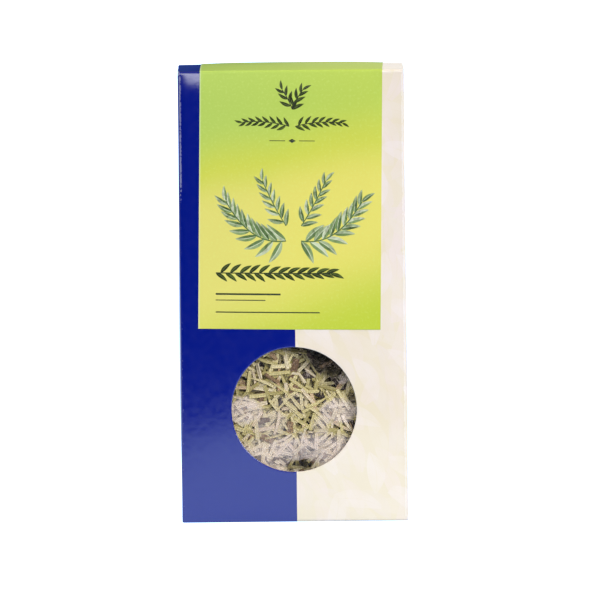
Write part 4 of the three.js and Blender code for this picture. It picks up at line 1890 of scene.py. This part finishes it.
@dataclass
class Bag:
    """The clear film bag: full of herb below, drawn in and pressed flat above."""

    half_width: float = 36.0
    half_depth: float = 16.5
    corner: float = 4.0
    foot: float = 1.9
    full_to: float = 70.0
    flat_from: float = 112.0
    head: float = 139.5
    flat_half_depth: float = 0.5
    seal: float = 8.0
    film: float = 0.06
    pitch: float = 1.1
    wrinkle: float = 0.32
    follow: float = 0.25
    seal_ridges: Place = (0.12, 3.2)
    tuck: Place = (0.05, 3.0)
    foot_rings: tuple[float, ...] = (0.6, 0.2)
    middle: Point = (0.0, 0.0, 40.0)
    folds: tuple[Fold, ...] = (
        Fold(8.0, 8.0, 11.0, 0.5),
        Fold(3.6, 4.0, 4.4, 0.3, shift_x=40.0),
        Fold(5.0, 5.0, 15.0, 0.5, shift_z=9.0, slant=True),
    )

    def half_depth_at(self, z: float) -> float:
        """Half the bag's depth at a height."""
        share = smoothstep(self.full_to, self.flat_from, z)
        return self.half_depth + (self.flat_half_depth - self.half_depth) * share

    def crease(self, x: float, y: float, z: float) -> float:
        """How far the film stands out in folds, which fade out in the pressed end."""
        calm = smoothstep(self.head - 2, self.flat_from - 12, z)
        return self.wrinkle * calm * sum(fold.height(x, y, z) for fold in self.folds)

    def build(self, herb: Herb) -> None:
        """Make the film.

        Args:
            herb: The heap, whose hollows the film follows a little.
        """
        sheet = Sheet()
        rows = []
        full = rounded_ring(self.half_width, self.half_depth, self.corner, self.pitch)
        for z in steps(self.foot, self.head, self.pitch):
            depth = self.half_depth_at(z)
            pressed = smoothstep(self.head - self.seal, self.head - self.seal + 1, z)
            tuck = 1 - self.tuck[0] * (1 - min(1.0, (z - self.foot) / self.tuck[1])) ** 2
            rows.append([])
            for x, y in full:
                y *= depth / self.half_depth
                side = math.copysign(min(1.0, abs(y) / max(depth, 0.1)) ** 2, y)
                ridge = self.seal_ridges[0] * math.sin(x * self.seal_ridges[1]) * pressed
                sunk = self.follow * max(0.0, herb.recess(x, z)) if y < 0 and z < self.full_to else 0.0
                out = y + side * self.crease(x, y, z) + ridge + sunk
                rows[-1].append(sheet.point((x * tuck, out * tuck, z), (x, z)))
        sheet.grid(rows, closed=True)
        close_in(sheet, rows[0], self.foot_rings, lambda x, y: self.foot)
        piece = sheet.build("film_bag_skin", facing_from(self.middle))
        thicken(piece, self.film)
        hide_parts("film_bag")
        dress(piece, "clear_film", BagFilm())


@dataclass(frozen=True)
class Sprig:
    """One leafy line of the label's ornament, in millimetres on the label."""

    start: Place
    middle: Place
    end: Place
    leaves: int
    length: float
    shrink: float
    splay: float
    stem: float
    seed: int
    ink: Finish = LeafInk()

    def grow(self, tree: Tree, name: str, leaf: Piece) -> Piece:
        """Grow the line flat, at the label's origin.

        Args:
            tree: The twig's tree.
            name: The piece's name.
            leaf: The leaf that is set along it.

        Returns:
            The piece.
        """
        ends = {"start": self.start, "middle": self.middle, "end": self.end}
        return tree.grow(
            name,
            bpy.data.meshes.new("nothing"),
            leaf=leaf,
            leaves=self.leaves,
            length=self.length * MM,
            shrink=self.shrink,
            splay=self.splay,
            stem=self.stem * MM,
            seed=self.seed,
            finish=self.ink.material(),
            **{title: (x * MM, y * MM, 0.0) for title, (x, y) in ends.items()},
        )


@dataclass(frozen=True)
class Rule:
    """One thin rule of the label, in millimetres on the label."""

    left: float
    right: float
    level: float
    half: float


@dataclass
class Ornament:
    """The label's print: a garland of leafy twigs, dark leafy bands, a small shoot and thin rules."""

    label: Label
    ink: float = 0.02
    ink_least: float = 0.15
    ink_middle: float = 0.3
    ink_rise: float = 8.0
    axis: float = 0.5
    garland: Place = (1.2, 36.4)
    leaf_stations: int = 10
    leaf_width: float = 0.14
    leaf_bend: float = 0.05
    rule_pitch: float = 1.0
    flat_height: float = 0.01
    lozenge: tuple[float, float, float] = (62.6, 1.2, 0.7)
    rules: tuple[Rule, ...] = (
        Rule(-24.5, -3.0, 11.6, 0.3),
        Rule(-24.5, -8.0, 9.6, 0.16),
        Rule(-24.5, 10.0, 5.6, 0.2),
        Rule(-7.0, -1.8, 62.6, 0.12),
        Rule(2.8, 8.0, 62.6, 0.12),
    )

    def leaf(self) -> Piece:
        """A thin lens-shaped leaf of unit length in metres, from the origin along X."""
        sheet = Sheet(span=1.0)
        edges = []
        for height in (0.0, 1.0):
            rows = []
            for i in range(self.leaf_stations + 1):
                t = i / self.leaf_stations
                half = self.leaf_width * math.sin(math.pi * t**0.8) ** 0.85 if 0 < t < 1 else 0.0
                bend = self.leaf_bend * math.sin(math.pi * t)
                places = [(t / MM, (bend + half * (k / 2 - 1)) / MM, height * MM) for k in range(5)]
                rows.append([sheet.point(where, (t, k / 4)) for k, where in enumerate(places)])
            sheet.grid(rows)
            edges.append([row[0] for row in rows] + [row[-1] for row in reversed(rows)])
        sheet.grid(edges, closed=True)
        return sheet.build("ornament_leaf")

    def garland_twig(self, side: int, places: Sequence[Place], *sizes: float, seed: int) -> Sprig:
        """One twig of the garland.

        Args:
            side: -1 on the left and 1 on the right.
            places: The twig's start, middle and end, outwards and upwards from the garland's middle.
            *sizes: Its leaves, their length, shrink and splay, and the stem.
            seed: For its own draws.

        Returns:
            The twig.
        """
        x, y = self.garland
        bent = [(x + side * across, y + up) for across, up in places]
        return Sprig(*bent, *sizes, seed=seed)

    def sprigs(self) -> list[Sprig]:
        """The garland's twigs, mirrored about its middle, the bands and the shoot."""
        axis, dark = self.axis, DarkLeafInk()
        made = []
        for side in (-1, 1):
            wide = ((2.5, -7.0), (14.0, -9.0), (22.5, 6.0))
            slim = ((2.5, -2.0), (6.5, 4.0), (10.5, 13.0))
            made.append(self.garland_twig(side, wide, 19, 8.6, 0.4, 0.85, 0.2, seed=5 + side))
            made.append(self.garland_twig(side, slim, 13, 5.8, 0.3, 0.8, 0.16, seed=15 + side))
            band = ((axis + side, 67.4), (axis + side * 9.0, 69.6), (axis + side * 16.5, 68.6))
            shoot = ((axis, 73.0), (axis + side, 76.0), (axis + side * 3.4, 79.5))
            made.append(Sprig(*band, 15, 3.6, 0.25, 0.75, 0.14, 61 + side, dark))
            made.append(Sprig(*shoot, 7, 4.4, 0.3, 0.8, 0.14, 71 + side, dark))
        made.append(Sprig((-24.5, 18.6), (-5.0, 18.6), (13.5, 18.6), 25, 4.8, 0.0, 0.7, 0.18, 41, dark))
        return made

    def build(self) -> None:
        """Print the ornament."""
        tree = twig_tree()
        leaf = self.leaf()
        for number, sprig in enumerate(self.sprigs()):
            self.lay(sprig.grow(tree, f"print_leaves_{number}", leaf), sprig.ink)
        bpy.data.objects.remove(leaf)
        self.lay(self.lines(), LineInk())

    def lay(self, piece: Piece, ink: Finish) -> None:
        """Lay a flat print on the label's outer side and dress it.

        Args:
            piece: The print.
            ink: Its finish.
        """
        for vertex in piece.data.vertices:
            x, y, z = (c / MM for c in vertex.co)
            share = min(1.0, max(self.ink_least, self.ink_middle + self.ink_rise * z))
            where = self.label.place(x, self.label.foot + y, self.label.lift + self.ink * share)
            vertex.co = [c * MM for c in where]
        piece.data.update()
        dress(piece, "label_paper", ink)

    def lines(self) -> Piece:
        """The thin rules, with a lozenge between two of them."""
        sheet = Sheet()
        for rule in self.rules:
            low, high = rule.level - rule.half, rule.level + rule.half
            section = ((low, 0.0), (high, 0.0), (high, self.flat_height), (low, self.flat_height))
            stations = steps(rule.left, rule.right, self.rule_pitch)
            sheet.tube([[sheet.point((x, y, z), (x, y)) for y, z in section] for x in stations])
        level, half_width, half_height = self.lozenge
        corners = ((half_width, 0.0), (0.0, half_height), (-half_width, 0.0), (0.0, -half_height))
        rings = [[(self.axis + a, level + b, z) for a, b in corners] for z in (0.0, self.flat_height)]
        sheet.tube([[sheet.point(where, where[:2]) for where in ring] for ring in rings])
        return sheet.build("print_rules")


@dataclass(frozen=True)
class Sun:
    """A soft light: its name, where it stands seen from the carton, its power and its width in degrees."""

    name: str
    direction: Point
    strength: float
    spread: float

    def build(self) -> None:
        """Add the light."""
        data = bpy.data.lights.new(self.name, "SUN")
        data.energy = self.strength
        data.angle = math.radians(self.spread)
        piece = link(bpy.data.objects.new(self.name, data))
        piece.rotation_euler = Vector(self.direction).to_track_quat("Z", "Y").to_euler()


@dataclass
class Studio:
    """The pale floor, the light and the camera of the photograph."""

    picture: int = 590
    scale: float = 3.018
    distance: float = 5000.0
    elevation: float = 4.7
    roll: float = 0.6
    aim: Place = (0.65, 75.5)
    sensor: float = 36.0
    clip: Place = (0.1, 20.0)
    floor_level: float = -0.02
    floor_front: float = 318.0
    floor_reach: float = 4000.0
    backdrop: Colour = (0.03, 0.06, 0.22)
    card_back: float = 250.0
    card_x: Place = (0.6, 300.0)
    card_z: Place = (135.0, 330.0)
    overhead: Place = (0.2, 0.7)
    glossy_cut: float = 0.75
    band_foot: Place = (0.07, 0.14)
    band_head: Place = (0.3, 0.2)
    band_front: Place = (-0.9, -0.97)
    band_light: float = 3.6
    sides: Place = (0.7, 0.95)
    side_light: float = 0.7
    behind: Place = (0.3, 0.8)
    behind_low: Place = (0.35, 0.15)
    suns: tuple[Sun, ...] = (
        Sun("key", (0.6, -0.95, 0.4), 1.86, 22.0),
        Sun("fill", (-0.8, -0.9, 0.35), 0.42, 28.0),
    )

    def camera(self, front: float) -> None:
        """Make the camera.

        Args:
            front: How far the carton's front face is from its axis.
        """
        data = bpy.data.cameras.new("camera")
        data.sensor_width = self.sensor
        data.lens = self.scale * self.sensor * self.distance / self.picture
        data.clip_start, data.clip_end = self.clip
        piece = link(bpy.data.objects.new("camera", data))
        tilt = math.radians(self.elevation)
        target = Vector((self.aim[0], -front, self.aim[1]))
        piece.location = (target + self.distance * Vector((0.0, -math.cos(tilt), math.sin(tilt)))) * MM
        look = Matrix.Rotation(math.pi / 2 - tilt, 4, "X")
        piece.rotation_euler = (look @ Matrix.Rotation(math.radians(-self.roll), 4, "Z")).to_euler()
        bpy.context.scene.camera = piece

    def stage(self, name: str, rows: Sequence[Sequence[Point]], up: Point, finish: Finish) -> Piece:
        """Add a flat piece of the stage.

        Args:
            name: Its name.
            rows: Its corners, in two rows.
            up: The way that it faces.
            finish: Its finish.

        Returns:
            The piece.
        """
        sheet = Sheet()
        sheet.grid([[sheet.point(where, where[:2]) for where in row] for row in rows])
        piece = sheet.build(name, lambda middle, normal: normal.dot(Vector(up)) > 0)
        piece.data.materials.append(finish.material())
        return piece

    def floor(self) -> None:
        """Make the floor, which ends a little way in front, so the board's upper part mirrors no floor."""
        sides, ends = (-self.floor_reach, self.floor_reach), (-self.floor_front, self.floor_reach)
        rows = [[(x, y, self.floor_level) for x in sides] for y in ends]
        self.stage("floor", rows, (0.0, 0.0, 1.0), PaleFloor())

    def card(self) -> None:
        """Stand a pale card behind on the right, only for the cream half of the closed top to mirror."""
        rows = [[(x, self.card_back, z) for x in self.card_x] for z in self.card_z]
        piece = self.stage("card", rows, (0.0, -1.0, 0.0), PaleCard())
        piece.visible_camera = piece.visible_diffuse = piece.visible_shadow = False

    def world(self) -> None:
        """Make a surround that looks white, and lights the part from above, both sides and low in front."""
        world = bpy.data.worlds.new("studio")
        bpy.context.scene.world = world
        world.use_nodes = True
        graph = Graph(world.node_tree)
        x, y, z = graph.parts(graph.out("ShaderNodeTexCoord", output="Generated"))
        path = graph.node("ShaderNodeLightPath").outputs
        dimmed = graph.line(path["Is Glossy Ray"], -self.glossy_cut, 0.95)
        high = graph.times(graph.ramp(z, *self.overhead), dimmed)
        band = graph.times(graph.ramp(z, *self.band_foot), graph.ramp(z, *self.band_head))
        ahead = graph.times(band, graph.ramp(y, *self.band_front), self.band_light)
        aside = graph.times(graph.ramp(graph.math("ABSOLUTE", x), *self.sides), self.side_light)
        level = graph.math("MAXIMUM", graph.math("MAXIMUM", high, ahead), aside)
        behind = graph.times(graph.ramp(y, *self.behind), graph.ramp(z, *self.behind_low))
        colour = graph.mix(behind, graph.joined(level, level, level), self.backdrop)
        colour = graph.mix(path["Is Camera Ray"], colour, (1.0, 1.0, 1.0))
        light = graph.out("ShaderNodeBackground", {"Color": colour, "Strength": 1.0})
        graph.node("ShaderNodeOutputWorld", {"Surface": light})

    def build(self, front: float) -> None:
        """Set the stage.

        Args:
            front: How far the carton's front face is from its axis.
        """
        self.camera(front)
        self.floor()
        self.card()
        for sun in self.suns:
            sun.build()
        self.world()
        bpy.context.scene.view_settings.view_transform = "Standard"


def main() -> None:
    """Build the carton from the outside in, then the studio."""
    logging.basicConfig(level=logging.INFO, format="%(name)s: %(message)s")
    form = CartonForm()
    Carton(form).build()
    label = Label(form)
    label.build()
    Ornament(label).build()
    herb = Herb()
    herb.build()
    Bag().build(herb)
    Studio().build(form.depth / 2)


if __name__ == "__main__":
    main()
